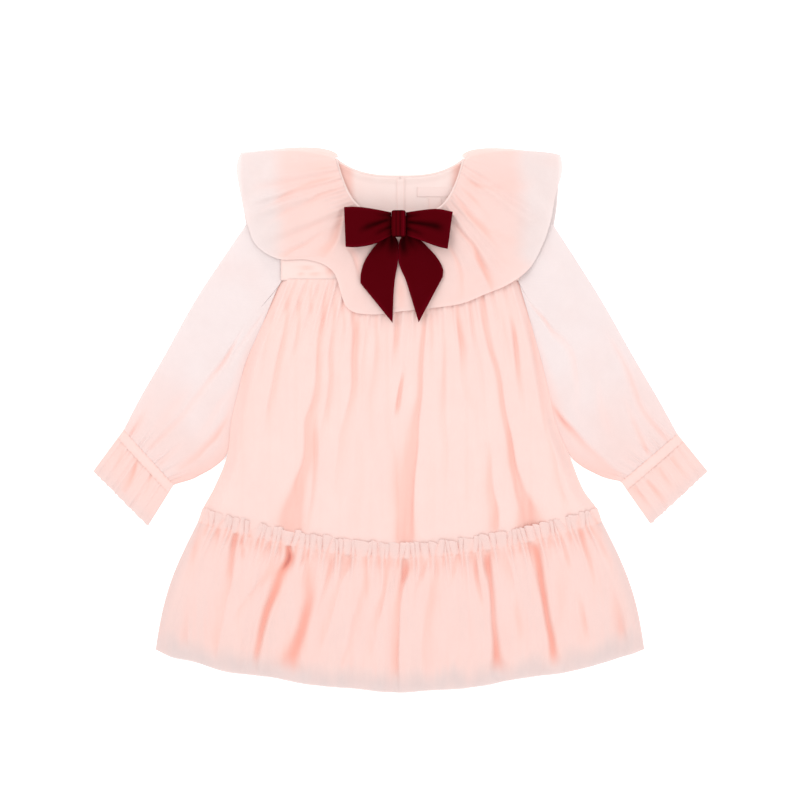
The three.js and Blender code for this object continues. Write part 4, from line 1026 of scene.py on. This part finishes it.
class Finish:
    """A material under construction."""

    def __init__(self, name):
        self.material = bpy.data.materials.new(name)
        self.material.use_nodes = True
        self.tree = self.material.node_tree
        self.tree.nodes.clear()

    def node(self, kind, settings=None, values=None, output=0):
        """Adds a node of a type, with its settings first and then the values or links of its sockets."""
        node = self.tree.nodes.new(kind)
        for setting, value in (settings or {}).items():
            if setting == "stops":
                for position, tint in value[1:-1]:
                    node.color_ramp.elements.new(position)
                for stop, (position, tint) in zip(node.color_ramp.elements, value):
                    stop.position = position
                    stop.color = (*tint, 1)
            else:
                setattr(node, setting, value)
        for key, value in (values or {}).items():
            socket = node.inputs[key]
            if isinstance(value, Wire):
                self.tree.links.new(value.socket, socket)
            else:
                socket.default_value = (*value, 1) if socket.type == "RGBA" else value
        return Wire(self, node.outputs[output]) if node.outputs else None

    def ramp(self, share, stops):
        """A colour from a list of positions and colours."""
        return self.node("ShaderNodeValToRGB", {"stops": stops}, {0: share})

    def blend(self, share, first, second):
        """A colour between two colours."""
        return self.node("ShaderNodeMix", {"data_type": "RGBA"}, {0: share, 6: first, 7: second}, output=2)

    def cloud(self, scale, detail=2):
        """Noise round 0.5 that is fixed to the piece. scale is in cycles for each metre."""
        here = self.node("ShaderNodeTexCoord", output=3)
        return self.node("ShaderNodeTexNoise", None, {"Vector": here, "Scale": scale, "Detail": detail})

    def weave(self, pitch, turn=0.0):
        """Threads along one direction of the cloth, at a pitch in metres, from 0 to 1."""
        cloth = self.node("ShaderNodeUVMap", {"uv_map": "weave"})
        turned = self.node("ShaderNodeMapping", None, {"Vector": cloth, "Rotation": (0, 0, turn)})
        settings = {"wave_type": "BANDS", "bands_direction": "X", "wave_profile": "SIN"}
        scale = math.pi / (10 * pitch)
        return self.node("ShaderNodeTexWave", settings, {"Vector": turned, "Scale": scale}, output=1)

    def painted(self, name):
        """A number from 0 to 1 that the piece's mesh carries at each vertex."""
        return self.node("ShaderNodeAttribute", {"attribute_name": name}, output=2)

    def bump(self, height, strength, distance):
        values = {"Height": height, "Strength": strength, "Distance": distance}
        return self.node("ShaderNodeBump", None, values)

    def surface(self, **sockets):
        """Ends the material in a Principled shader. Socket names have underscores for spaces."""
        values = {name.replace("_", " "): value for name, value in sockets.items()}
        shader = self.node("ShaderNodeBsdfPrincipled", None, values)
        self.node("ShaderNodeOutputMaterial", None, {0: shader})
        return self.material


def net_finish(name, colours, opacity, sheer):
    """Soft net: a fine mesh of threads, with painted shade in its folds, where it is also more opaque, and in
    its sheer colour where nothing pink lies under it.
    """
    finish = Finish(name)
    threads = finish.weave(0.0007, 0.5) * finish.weave(0.0007, -0.5)
    mottle = finish.cloud(38, 3) - 0.5
    grain = finish.cloud(900, 1) - 0.5
    hollow = finish.painted("hollow")
    pale = finish.painted("pale")
    stops = [
        (0, colours.net),
        (0.2, colours.net_shade),
        (0.45, colours.net_slope_shade),
        (0.8, colours.fold),
        (1, colours.deep_fold_shadow),
    ]
    colour = finish.ramp(hollow + mottle * 0.18 + grain * 0.06, stops)
    colour = finish.blend(pale + mottle * 0.2 + grain * 0.1, colour, sheer)
    alpha = opacity + (threads - 0.25) * 0.05 + mottle * 0.1 + hollow * (1.2 * (1 - opacity))
    return finish.surface(
        Base_Color=colour,
        Roughness=0.85,
        Alpha=alpha,
        Normal=finish.bump(threads, 0.06, 0.0001),
        Specular_IOR_Level=0.1,
    )


def plain_finish(name, base, fold):
    """Close plain-woven cloth, turned towards its fold colour by painted shade and by random mottle."""
    finish = Finish(name)
    weave = finish.weave(0.0006, 0) + finish.weave(0.0006, math.pi / 2)
    colour = finish.blend(finish.painted("hollow"), base, fold)
    colour = finish.blend((finish.cloud(45, 3) - 0.5) * 0.3 + 0.1, colour, fold)
    normal = finish.bump(weave, 0.15, 0.0001)
    return finish.surface(Base_Color=colour, Roughness=0.8, Normal=normal, Specular_IOR_Level=0.2)


def velvet_finish(name, colours):
    """Cut pile: deep red, with painted shade in its creases and a painted highlight along its edges and the
    knot's ridge, lighter and darker at random in its nap and pile.
    """
    finish = Finish(name)
    nap = finish.cloud(70, 4)
    pile = finish.cloud(2400, 2)
    colour = finish.blend(finish.painted("pale") + (nap - 0.5) * 0.7, colours.velvet, colours.velvet_highlight_and_pile)
    colour = finish.blend(finish.painted("hollow") + (nap - 0.5) * 0.5, colour, colours.velvet_shade)
    colour = finish.blend((pile - 0.5) * 0.5, colour, colours.velvet_highlight_and_pile)
    return finish.surface(
        Base_Color=colour,
        Roughness=0.95,
        Normal=finish.bump(pile * 0.7 + nap * 0.3, 0.4, 0.0004),
        Specular_IOR_Level=0.0,
    )


NET_OPACITY = {"body_net": 0.93, "tier_net": 0.88, "collar_net": 0.87, "sleeve_net": 0.8, "band_net": 0.92}


def material(name, colours):
    """The material of this name, made when it is first asked for."""
    made = bpy.data.materials.get(name)
    if made:
        return made
    if name == "velvet_pile":
        return velvet_finish(name, colours)
    if name in NET_OPACITY:
        sheer = {"tier_net": colours.shaded_sheer_hem, "collar_net": colours.sheer_collar}.get(name, colours.sheer)
        return net_finish(name, colours, NET_OPACITY[name], sheer)
    base, fold = {
        "lining_cloth": (colours.lining, colours.lining_shade),
        "lined_net_cloth": (colours.lined_net, colours.lining_shade),
        "label_cloth": (colours.label, colours.net_slope_shade),
    }[name]
    return plain_finish(name, base, fold)


# What a user would change.


class DressSizes(bpy.types.PropertyGroup):
    lining_thickness: FloatProperty(
        name="Lining thickness", description="Thickness of the lining", default=0.0006, unit="LENGTH"
    )
    velvet_thickness: FloatProperty(
        name="Velvet thickness", description="Thickness of the ribbon", default=0.0012, unit="LENGTH"
    )
    camera_lens: FloatProperty(
        name="Camera lens", description="Focal length of the camera", default=100, unit="CAMERA"
    )
    picture_width: FloatProperty(
        name="Picture width", description="Width of the surface that shows", default=0.752, unit="LENGTH"
    )
    fineness: IntProperty(
        name="Fineness", description="About how many grid columns each gather has", default=11, min=4, max=16
    )


def colour(name, description, default):
    return FloatVectorProperty(
        name=name, description=description, default=default, subtype="COLOR", min=0, max=1, size=3
    )


class DressColours(bpy.types.PropertyGroup):
    net: colour("Net", "Net in full light", (0.865, 0.63, 0.585))
    # net_shade, net_slope_shade, fold and deep_fold_shadow are the net's painted shade, deeper into a fold
    # and darkest where folds close over it.
    net_shade: colour("Net shade", "Net on the slope of a fold", (0.87, 0.60, 0.55))
    net_slope_shade: colour("Net slope", "Net part of the way into a fold", (0.84, 0.525, 0.465))
    fold: colour("Net in folds", "Net deep between folds", (0.80, 0.36, 0.29))
    deep_fold_shadow: colour("Net in holes", "Net where folds close over it", (0.50, 0.14, 0.12))
    sheer: colour("Sheer net", "Net with nothing under it", (0.845, 0.735, 0.725))
    sheer_collar: colour("Sheer collar", "Collar past the shoulder", (0.80, 0.695, 0.68))
    # shaded_sheer_hem is doubled net over nothing, greyer and darker with painted shade under the hem band.
    shaded_sheer_hem: colour("Sheer hem", "Doubled net with nothing under it", (0.70, 0.57, 0.55))
    lining: colour("Lining", "Lining under the net", (0.88, 0.58, 0.52))
    lining_shade: colour("Lining shade", "Lining in its folds", (0.80, 0.42, 0.35))
    lined_net: colour("Lined net", "Net on its lining, in yokes and bands", (0.84, 0.69, 0.655))
    label: colour("Label", "Bare woven label", (0.83, 0.66, 0.625))
    velvet: colour("Velvet", "Ribbon pile", (0.071, 0.0009, 0.003))
    velvet_shade: colour("Velvet shade", "Ribbon in its creases", (0.02, 0.0006, 0.0012))
    # velvet_highlight_and_pile is a painted highlight on the ribbon's edges and the knot's ridge, and lighter
    # pile at random.
    velvet_highlight_and_pile: colour("Velvet light", "Ribbon where the nap turns", (0.125, 0.0018, 0.007))


class DressStep(bpy.types.Operator):
    """A step of making the dress"""

    bl_options = {"REGISTER", "UNDO"}

    @property
    def sizes(self):
        return bpy.context.scene.dress_sizes

    @property
    def colours(self):
        return bpy.context.scene.dress_colours


class DRESS_OT_lining(DressStep):
    """Make the lining's front and back"""

    bl_idname = "dress.lining"
    bl_label = "Lining"

    def place(self, level, across, share):
        down = 2 * share
        if down < 1:
            x, y = body_plan(across, down)
            half = mix(YOKE_SEAM_HALF, TIER_SEAM_HALF, down)
        else:
            x, y = tier_plan(across, down - 1)
            half = mix(TIER_SEAM_HALF, HEM_HALF, down - 1)
        x *= 1 - LINING_INSET / half
        y += NET_BELOW_LINING * max(0, down - 1)
        return x, y, lift(x, y) + level + CLOTH / 2, 0.0, 0.0

    def execute(self, context):
        cut = (0.44, 0.37, 0.83)
        for node, level in (("lining_back", LINING_BACK), ("lining_front", LINING_FRONT)):
            piece = cloth_piece(node, 60, 80, partial(self.place, level), cut)
            thicken(piece, self.sizes.lining_thickness)
            dress(piece, node, material("lining_cloth", self.colours))
            declare(cut)
        return {"FINISHED"}


class DRESS_OT_yokes(DressStep):
    """Make the yokes, with the closing strip and the bare labels on them"""

    bl_idname = "dress.yokes"
    bl_label = "Yokes"

    def top(self, share, neck):
        mirror = -1 if share > 0.5 else 1
        from_side = min(share, 1 - share)
        round_neck = mix(0.04, 0.96, max(0, from_side - 0.2) / 0.6)
        outside = BINDING_WIDTH / 2 if neck == back_neck_y else BINDING_WIDTH + SEWN
        at_neck = neck_point(neck, round_neck, outside)
        shoulder = (-SHOULDER_HALF_WIDTH, shoulder_y(SHOULDER_HALF_WIDTH) - BINDING_WIDTH)
        step = clamp(from_side / 0.2)
        return mirror * mix(shoulder[0], at_neck[0], step), mix(shoulder[1], at_neck[1], step)

    def front_level(self, x, y):
        from_shoulder = shoulder_y(x) - BINDING_WIDTH - y
        level = LAYER + FRONT_YOKE - 0.6 * (1 - smooth(160, 132, y))
        level -= 0.5 * smooth(138, 133, y)
        level = mix(2 * LAYER + 2.7, level, smooth(0, 8, SHOULDER_HALF_WIDTH - abs(x)))
        return mix(2 * LAYER, level, smooth(0, 14, from_shoulder))

    def front_at(self, across, down):
        x, top_y = self.top(across, front_neck_y)
        y = mix(top_y, YOKE_SEAM_Y + SEWN, down)
        z = self.front_level(x, y) + CLOTH / 2
        x *= 1 + 0.01 * smooth(0, 12, top_y - y)
        # The front yoke is a little darker all over, and has painted shade at the creases.
        hollow = 0.14
        for crease in YOKE_CREASE_SHADES:
            hollow += 0.45 * bell((x - crease.x) / crease.reach_x) * bell((y - crease.y) / crease.reach_y)
        return x, y, z + 0.25 * ripple(x, y, 12, 6, 1), hollow, 0.0

    def back_level(self, x, y):
        """The middle of the back yoke's cloth, which laps over the lower half of the neck binding."""
        over_binding = 1 - smooth(BINDING_WIDTH - 1.5, BINDING_WIDTH + 5, back_neck_y(x) - y)
        lap = over_binding * smooth(NECK_HALF_WIDTH, NECK_HALF_WIDTH - 8, abs(x))
        return max(lift(x, y), LAYER) + CLOTH / 2 + 1.6 * lap

    def back_at(self, start, across, down):
        x, top_y = self.top(mix(start, start + 0.5, across), back_neck_y)
        x = math.copysign(max(abs(x), SEWN), start - 0.25)
        y = mix(top_y, YOKE_SEAM_Y + SEWN, down)
        # The shade beside the neck is wider on the left.
        reach = 19 if x < 0 else 14
        under_neck = smooth(reach, reach - 9, NECK_HALF_WIDTH - abs(x)) * smooth(175, 222, y)
        return x, y, self.back_level(x, y), 0.62 * under_neck, 0.0

    def strip_at(self, strip, across, down):
        x = mix(strip.left, strip.right, across)
        y = mix(strip.top, strip.bottom, down)
        edge = min(across, 1 - across) * (strip.right - strip.left)
        # The stitch lines dip a little, with painted shade in them.
        stitched = bell((edge - 0.9) / 0.35)
        return x, y, self.back_level(x, y) + 0.62 - 0.05 * stitched, 0.2 * stitched, 0.0

    def execute(self, context):
        lined = material("lined_net_cloth", self.colours)
        strips = []
        for node, strip in {"back_placket": PLACKET, **LABELS}.items():
            cut = ((strip.right - strip.left) * MM, (strip.top - strip.bottom) * MM)
            strips.append(cloth_piece(node, 30, 30, partial(self.strip_at, strip), cut))
            thicken(strips[-1], 0.6 * self.sizes.lining_thickness)
            slot = "lined_net" if node == "back_placket" else "label"
            dress(strips[-1], node, material(f"{slot}_cloth", self.colours))
        front_cut = (0.222, 0.1, 0.92)
        back_cut = (0.111, 0.1, 0.96)
        pieces = (
            ("yoke_front", 90, self.front_at, front_cut, "lining_front"),
            ("yoke_back_left", 60, partial(self.back_at, 0), back_cut, "collar_back_left"),
            ("yoke_back_right", 60, partial(self.back_at, 0.5), back_cut, "collar_back_right"),
        )
        for node, columns, place, cut, under in pieces:
            piece = cloth_piece(node, columns, 50, place, cut)
            thicken(piece, self.sizes.lining_thickness)
            dress(piece, node, lined)
            declare(cut, strips if node == "yoke_back_left" else [])
        return {"FINISHED"}


class DRESS_OT_body(DressStep):
    """Make the body's front and back"""

    bl_idname = "dress.body"
    bl_label = "Body"

    def back_at(self, across, down):
        x, y = body_plan(across, down)
        return x, y, lift(x, y) + CLOTH / 2, 0.0, 0.0

    def execute(self, context):
        net = material("body_net", self.colours)
        cut = (0.4, 0.26, 0.85)
        columns = 44 * self.sizes.fineness
        front = cloth_piece("body_front", columns, 110, body_front_at, cut)
        dress(front, "body_front", net)
        declare(cut)
        back = cloth_piece("body_back", 90, 60, self.back_at, cut)
        dress(back, "body_back", net)
        declare(cut)
        return {"FINISHED"}


class DRESS_OT_tiers(DressStep):
    """Make the hem tier's front and back, each with its heading"""

    bl_idname = "dress.tiers"
    bl_label = "Hem tier"

    def back_at(self, across, share):
        x, y = tier_plan(across, mix(-1, 1, share))
        return x, y, CLOTH / 2, 0.0, 0.5

    def execute(self, context):
        net = material("tier_net", self.colours)
        cut = (0.6, 0.15, 0.85)
        front = cloth_piece("tier_front", 60 * self.sizes.fineness, 84, tier_front_at, cut)
        dress(front, "tier_front", net)
        declare(cut)
        back = cloth_piece("tier_back", 120, 60, self.back_at, cut)
        dress(back, "tier_back", net)
        declare(cut)
        return {"FINISHED"}


class DRESS_OT_collar(DressStep):
    """Make the wide gathered collar"""

    bl_idname = "dress.collar"
    bl_label = "Collar"

    def back_at(self, hand, across, down):
        turn = math.pi / 2 * across
        neck_x, neck_y = neck_point(back_neck_y, across / 2, BINDING_WIDTH + SEWN)
        edge_x = -COLLAR_BACK_HALF * max(0, math.cos(turn)) ** (2 / COLLAR_BACK_POWER)
        edge_y = COLLAR_BACK_TOP - COLLAR_BACK_DEPTH * math.sin(turn) ** (2 / COLLAR_BACK_POWER)
        crest = 17 * down**0.45 * (1 - down) ** 0.8 * (1 - smooth(0, 0.16, across))
        x = min(mix(neck_x, edge_x, down), -SEWN)
        return -hand * x, mix(neck_y, edge_y, down) + crest, CLOTH / 2, 0.0, smooth(0.4, 0.9, down)

    def execute(self, context):
        net = material("collar_net", self.colours)
        cut = (0.5, 0.095, 0.72)
        front = cloth_piece("collar_front", 500, 80, collar_front_at, cut)
        dress(front, "collar_front", net)
        declare(cut)
        cut = (0.25, 0.1, 0.72)
        for node, hand in (("collar_back_left", -1), ("collar_back_right", 1)):
            piece = cloth_piece(node, 90, 40, partial(self.back_at, hand), cut)
            dress(piece, node, net)
            declare(cut)
        return {"FINISHED"}


class DRESS_OT_sleeves(DressStep):
    """Make the sleeves"""

    bl_idname = "dress.sleeves"
    bl_label = "Sleeves"

    def execute(self, context):
        cut = (0.22, 0.25, 0.8)
        for hand in ("left", "right"):
            node = f"sleeve_{hand}"
            piece = cloth_piece(node, 300, 150, partial(sleeve_at, hand), cut, tube=True)
            dress(piece, node, material("sleeve_net", self.colours))
            declare(cut)
        return {"FINISHED"}


class DRESS_OT_cuffs(DressStep):
    """Make the cuff bands and their frills"""

    bl_idname = "dress.cuffs"
    bl_label = "Cuffs"

    def band_at(self, hand, turn_share, along):
        across = (1 - math.cos(2 * math.pi * turn_share)) / 2
        pleats = wave(uneven(across, BAND_PLEATS, 4))
        swell = math.sin(math.pi * along)
        top = 5.2 + 0.8 * swell + 0.2 * pleats * (1 - swell)
        x, y, z = flat_tube_at(cuff_ends(hand, SEWN, CUFF_BAND, along), top, turn_share)
        # Painted shade between the pleats and towards the band's ends.
        return x, y, z, 0.16 * (1 - pleats) * (1 - swell) + 0.25 * (1 - smooth(0, 0.3, swell)), 0.0

    def frill_at(self, hand, turn_share, along):
        across = (1 - math.cos(2 * math.pi * turn_share)) / 2
        seed = 5 if hand == "left" else 6
        deep, shade = fold_shape(f"cuff_{hand}", across, along, CUFF_WIDTH)
        turns = wave(uneven(across, CUFF_WAVES, seed))
        fine = wave(uneven(across, CUFF_PUCKERS, seed + 3))
        top = 4.6 + mix(0.3, 0.7, along) * turns + 0.6 * along + mix(0.3, 0.05, along) * fine - 0.6 * deep
        end = CUFF_END + FRILL_PAST_END - 0.4 * (1 + wave(uneven(across, 9, seed + 1)))
        x, y, z = flat_tube_at(cuff_ends(hand, CUFF_BAND + SEWN, end, along), max(1.6, top), turn_share)
        near_band = 1 - smooth(0, 0.6, along)
        # Painted shade in the folds, between the puckers near the band and between the waves.
        hollow = 1.2 * shade + 0.08 * near_band * (1 - fine) + 0.04 * (1 - turns)
        return x, y, z, hollow, 0.45 * smooth(0.55, 1, along)

    def execute(self, context):
        for hand in ("left", "right"):
            node = f"cuff_band_{hand}"
            cut = (0.14, 0.01)
            piece = cloth_piece(node, 160, 12, partial(self.band_at, hand), cut, tube=True)
            dress(piece, node, material("band_net", self.colours))
            declare(cut)
            node = f"cuff_frill_{hand}"
            cut = (0.16, 0.032)
            piece = cloth_piece(node, 300, 40, partial(self.frill_at, hand), cut, tube=True)
            dress(piece, node, material("tier_net", self.colours))
            declare(cut)
        return {"FINISHED"}


class DRESS_OT_neck(DressStep):
    """Make the neck binding"""

    bl_idname = "dress.neck"
    bl_label = "Neck"

    def binding_at(self, curve, level, along, turn_share):
        angle = 2 * math.pi * turn_share
        half_wall = self.sizes.lining_thickness / MM / 2
        outside = BINDING_WIDTH / 2 - (BINDING_WIDTH / 2 - half_wall) * math.cos(angle)
        x, y = neck_point(curve, mix(0.02, 0.98, along), outside)
        z = level(along) + BINDING_DEPTH / 2 + (BINDING_DEPTH / 2 - half_wall) * math.sin(angle)
        # Painted shade, deeper on the binding's underside.
        return x, y, z, 0.06 + 0.2 * smooth(0.2, 1, -math.sin(angle)), 0.0

    def execute(self, context):
        bindings = (
            ("neck_binding_front", front_neck_y, front_binding_level, (0.17, 0.012), ["yoke_front"]),
            ("neck_binding_back", back_neck_y, lambda along: 0, (0.125, 0.012), []),
        )
        lined = material("lined_net_cloth", self.colours)
        for node, curve, level, cut, rests_on in bindings:
            piece = cloth_piece(node, 160, 16, partial(self.binding_at, curve, level), cut, tube=True)
            thicken(piece, self.sizes.lining_thickness)
            dress(piece, node, lined)
            declare(cut)
        return {"FINISHED"}


class DRESS_OT_bow(DressStep):
    """Make the velvet bow: two loops, two tails and the knot"""

    bl_idname = "dress.bow"
    bl_label = "Bow"

    def loop_at(self, hand, turn_share, down):
        rows = LOOPS[hand]
        turn = 2 * math.pi * turn_share
        reach = abs(rows[-1].x - rows[0].x)
        inset = VELVET / 2 / reach
        out = mix(inset, 1 - inset, (1 - math.cos(turn)) / 2)
        high = read(rows, "out", "high", out)
        low = read(rows, "out", "low", out)
        x = read(rows, "out", "x", out)
        depth = LOOP_DEPTH * (0.62 + 0.38 * smooth(0, 0.6, out)) - VELVET
        crease = 0.0
        for line in LOOP_CREASES[hand]:
            near = bell((down - mix(line.at_knot, line.at_end, out)) / mix(0.07, 0.13, out))
            within = smooth(line.start - 0.05, line.start + 0.08, out) * smooth(line.end, line.end - 0.3, out)
            crease += line.depth * near * within
        over = 0
        if math.sin(turn) > 0:
            over = 0.5 * (1 - out) ** 2 * wave(3.5 * down) - 1.4 * crease
        x += LOOP_LEAN[hand] * out**3 * (0.75 - down)
        z = BOW_BASE + LOOP_DEPTH / 2 + depth / 2 * power(math.sin(turn), 0.55) + over
        # Painted shade in the creases and near the knot, and a painted highlight along the ribbon's edges and
        # the loop's end.
        hollow = crease + 0.5 * smooth(0.16, 0, out)
        edge = bell(down / 0.05) + bell((1 - down) / 0.05) + bell((1 - out) / 0.04)
        return x, mix(high, low, down), z, hollow, 0.6 * edge

    def tail_at(self, hand, across, down):
        rows = TAILS[hand]
        left_x = read(rows, "down", "left_x", down)
        right_x = read(rows, "down", "right_x", down)
        apart = smooth(0.3, 0.62, down) + smooth(0.14, 0.02, down)
        if hand == "left":
            right_x = mix(TAILS_MEET_X - 0.1, right_x, apart)
        else:
            left_x = mix(TAILS_MEET_X + 0.1, left_x, apart)
        x = mix(left_x, right_x, across)
        y = mix(read(rows, "down", "left_y", down), read(rows, "down", "right_y", down), across)
        arch = 1.2 * math.sin(math.pi * across) * smooth(0.1, 0.4, down)
        gather = 0.5 * wave(2.5 * across) * smooth(0.35, 0.05, down)
        z = collar_base(x, y) + PLEATED_CLOTH + 1.1 + arch + gather + VELVET / 2
        # A painted highlight along the edges and the end, and painted shade near the knot, between its
        # gathers and in a band inside each tail.
        edge = bell(across / 0.05) + bell((1 - across) / 0.05) + bell((1 - down) / 0.05)
        hollow = 0.5 * smooth(0.3, 0.06, down) + 0.2 * (1 - wave(2.5 * across)) * smooth(0.35, 0.05, down)
        inner = 1 - across if hand == "left" else across
        hollow += 0.5 * bell((inner - 0.24) / 0.16) * smooth(0.04, 0.12, down) * smooth(0.4, 0.2, down)
        return x, y, z, hollow, 0.5 * edge

    def knot_at(self, turn_share, down):
        """A place on the knot, whose ends turn in to the ribbon that it gathers."""
        angle = 2 * math.pi * turn_share
        turned_in = smooth(0.12, 0, down) + smooth(0.88, 1, down)
        swell = (0.94 + 0.06 * math.sin(math.pi * down)) * (1 - 0.9 * turned_in)
        half = (KNOT_RIGHT - KNOT_LEFT) / 2
        side = power(math.cos(angle), 0.6)
        pleat = 0.35 * wave(1.6 * side + 0.1) * max(0, math.sin(angle)) * (1 - turned_in)
        x = KNOT_LEFT + half + half * swell * side
        z = BOW_BASE + KNOT_DEPTH / 2 * (1 + swell * power(math.sin(angle), 0.6)) + pleat
        y = mix(KNOT_HIGH, KNOT_LOW, clamp((down - 0.1) / 0.8)) + (1.2 if down > 0.5 else -1.2) * turned_in
        # Painted shade where the ends turn in, less on the pleats, and a painted highlight along a ridge near
        # the right side.
        return x, y, z, clamp(turned_in - 2 * pleat), 0.9 * bell((side - 0.72) / 0.12) * (1 - turned_in)

    def execute(self, context):
        velvet = material("velvet_pile", self.colours)
        for hand in ("left", "right"):
            for node, columns, rows, place, cut in (
                (f"bow_loop_{hand}", 120, 50, self.loop_at, (0.09, 0.036, 0.9)),
                (f"bow_tail_{hand}", 50, 70, self.tail_at, (0.034, 0.085, 0.72)),
            ):
                tube = place == self.loop_at
                piece = cloth_piece(node, columns, rows, partial(place, hand), cut, tube)
                thicken(piece, self.sizes.velvet_thickness)
                dress(piece, node, velvet)
                declare(cut)
        cut = (0.045, 0.031)
        knot = cloth_piece("bow_knot", 96, 40, self.knot_at, cut, tube=True)
        thicken(knot, self.sizes.velvet_thickness)
        dress(knot, "bow_knot", velvet)
        declare(cut)
        return {"FINISHED"}


class DRESS_OT_stage(DressStep):
    """Make the floor, the lights and the camera"""

    bl_idname = "dress.stage"
    bl_label = "Stage"

    picture_middle_y = 18.8 * MM
    floor_size = 6.0
    floor_drop = 0.2 * MM

    def floor(self):
        mesh = bmesh.new()
        bmesh.ops.create_grid(mesh, x_segments=1, y_segments=1, size=self.floor_size / 2)
        bmesh.ops.translate(mesh, verts=mesh.verts, vec=(0, 0, -self.floor_drop))
        data = bpy.data.meshes.new("floor")
        mesh.to_mesh(data)
        mesh.free()
        floor = bpy.data.objects.new("floor", data)
        bpy.context.scene.collection.objects.link(floor)
        paper = Finish("floor").surface(
            Base_Color=(0.97, 0.97, 0.97), Roughness=0.95, Emission_Color=(1, 1, 1), Emission_Strength=0.3
        )
        data.materials.append(paper)

    def light(self, name, place, size, energy):
        data = bpy.data.lights.new(name, "AREA")
        data.size = size
        data.energy = energy
        light = bpy.data.objects.new(name, data)
        light.location = place
        light.rotation_euler = (-Vector(place)).to_track_quat("-Z", "Y").to_euler()
        bpy.context.scene.collection.objects.link(light)

    def execute(self, context):
        scene = context.scene
        scene.view_settings.view_transform = "Standard"
        world = bpy.data.worlds.new("studio")
        world.use_nodes = True
        background = world.node_tree.nodes["Background"]
        background.inputs["Color"].default_value = (1, 1, 1, 1)
        background.inputs["Strength"].default_value = 1.0
        scene.world = world
        self.floor()
        self.light("key", (-1.2, 1.2, 1.8), 1.4, 15)
        self.light("fill", (1.4, -0.8, 1.8), 1.8, 11)
        data = bpy.data.cameras.new("camera")
        data.lens = self.sizes.camera_lens
        data.sensor_width = 36
        camera = bpy.data.objects.new("camera", data)
        height = self.sizes.picture_width * data.lens / data.sensor_width
        camera.location = (0, self.picture_middle_y, height + 0.005)
        scene.collection.objects.link(camera)
        scene.camera = camera
        return {"FINISHED"}


STEPS = (
    DRESS_OT_stage,
    DRESS_OT_lining,
    DRESS_OT_yokes,
    DRESS_OT_body,
    DRESS_OT_tiers,
    DRESS_OT_sleeves,
    DRESS_OT_cuffs,
    DRESS_OT_collar,
    DRESS_OT_neck,
    DRESS_OT_bow,
)


class DRESS_PT_steps(bpy.types.Panel):
    """The steps of making the dress"""

    bl_idname = "DRESS_PT_steps"
    bl_label = "Party dress"
    bl_space_type = "VIEW_3D"
    bl_region_type = "UI"
    bl_category = "Dress"

    def draw(self, context):
        for group in (context.scene.dress_sizes, context.scene.dress_colours):
            for name in group.bl_rna.properties.keys():
                if name not in ("rna_type", "name"):
                    self.layout.prop(group, name)
        for step in STEPS:
            self.layout.operator(step.bl_idname)


CLASSES = (DressSizes, DressColours, *STEPS, DRESS_PT_steps)


def register():
    for item in CLASSES:
        bpy.utils.register_class(item)
    bpy.types.Scene.dress_sizes = PointerProperty(type=DressSizes)
    bpy.types.Scene.dress_colours = PointerProperty(type=DressColours)


def unregister():
    del bpy.types.Scene.dress_colours
    del bpy.types.Scene.dress_sizes
    for item in reversed(CLASSES):
        bpy.utils.unregister_class(item)


def main():
    register()
    for step in STEPS:
        getattr(bpy.ops.dress, step.bl_idname.split(".")[1])()
    bpy.context.view_layer.update()


if __name__ == "__main__":
    main()
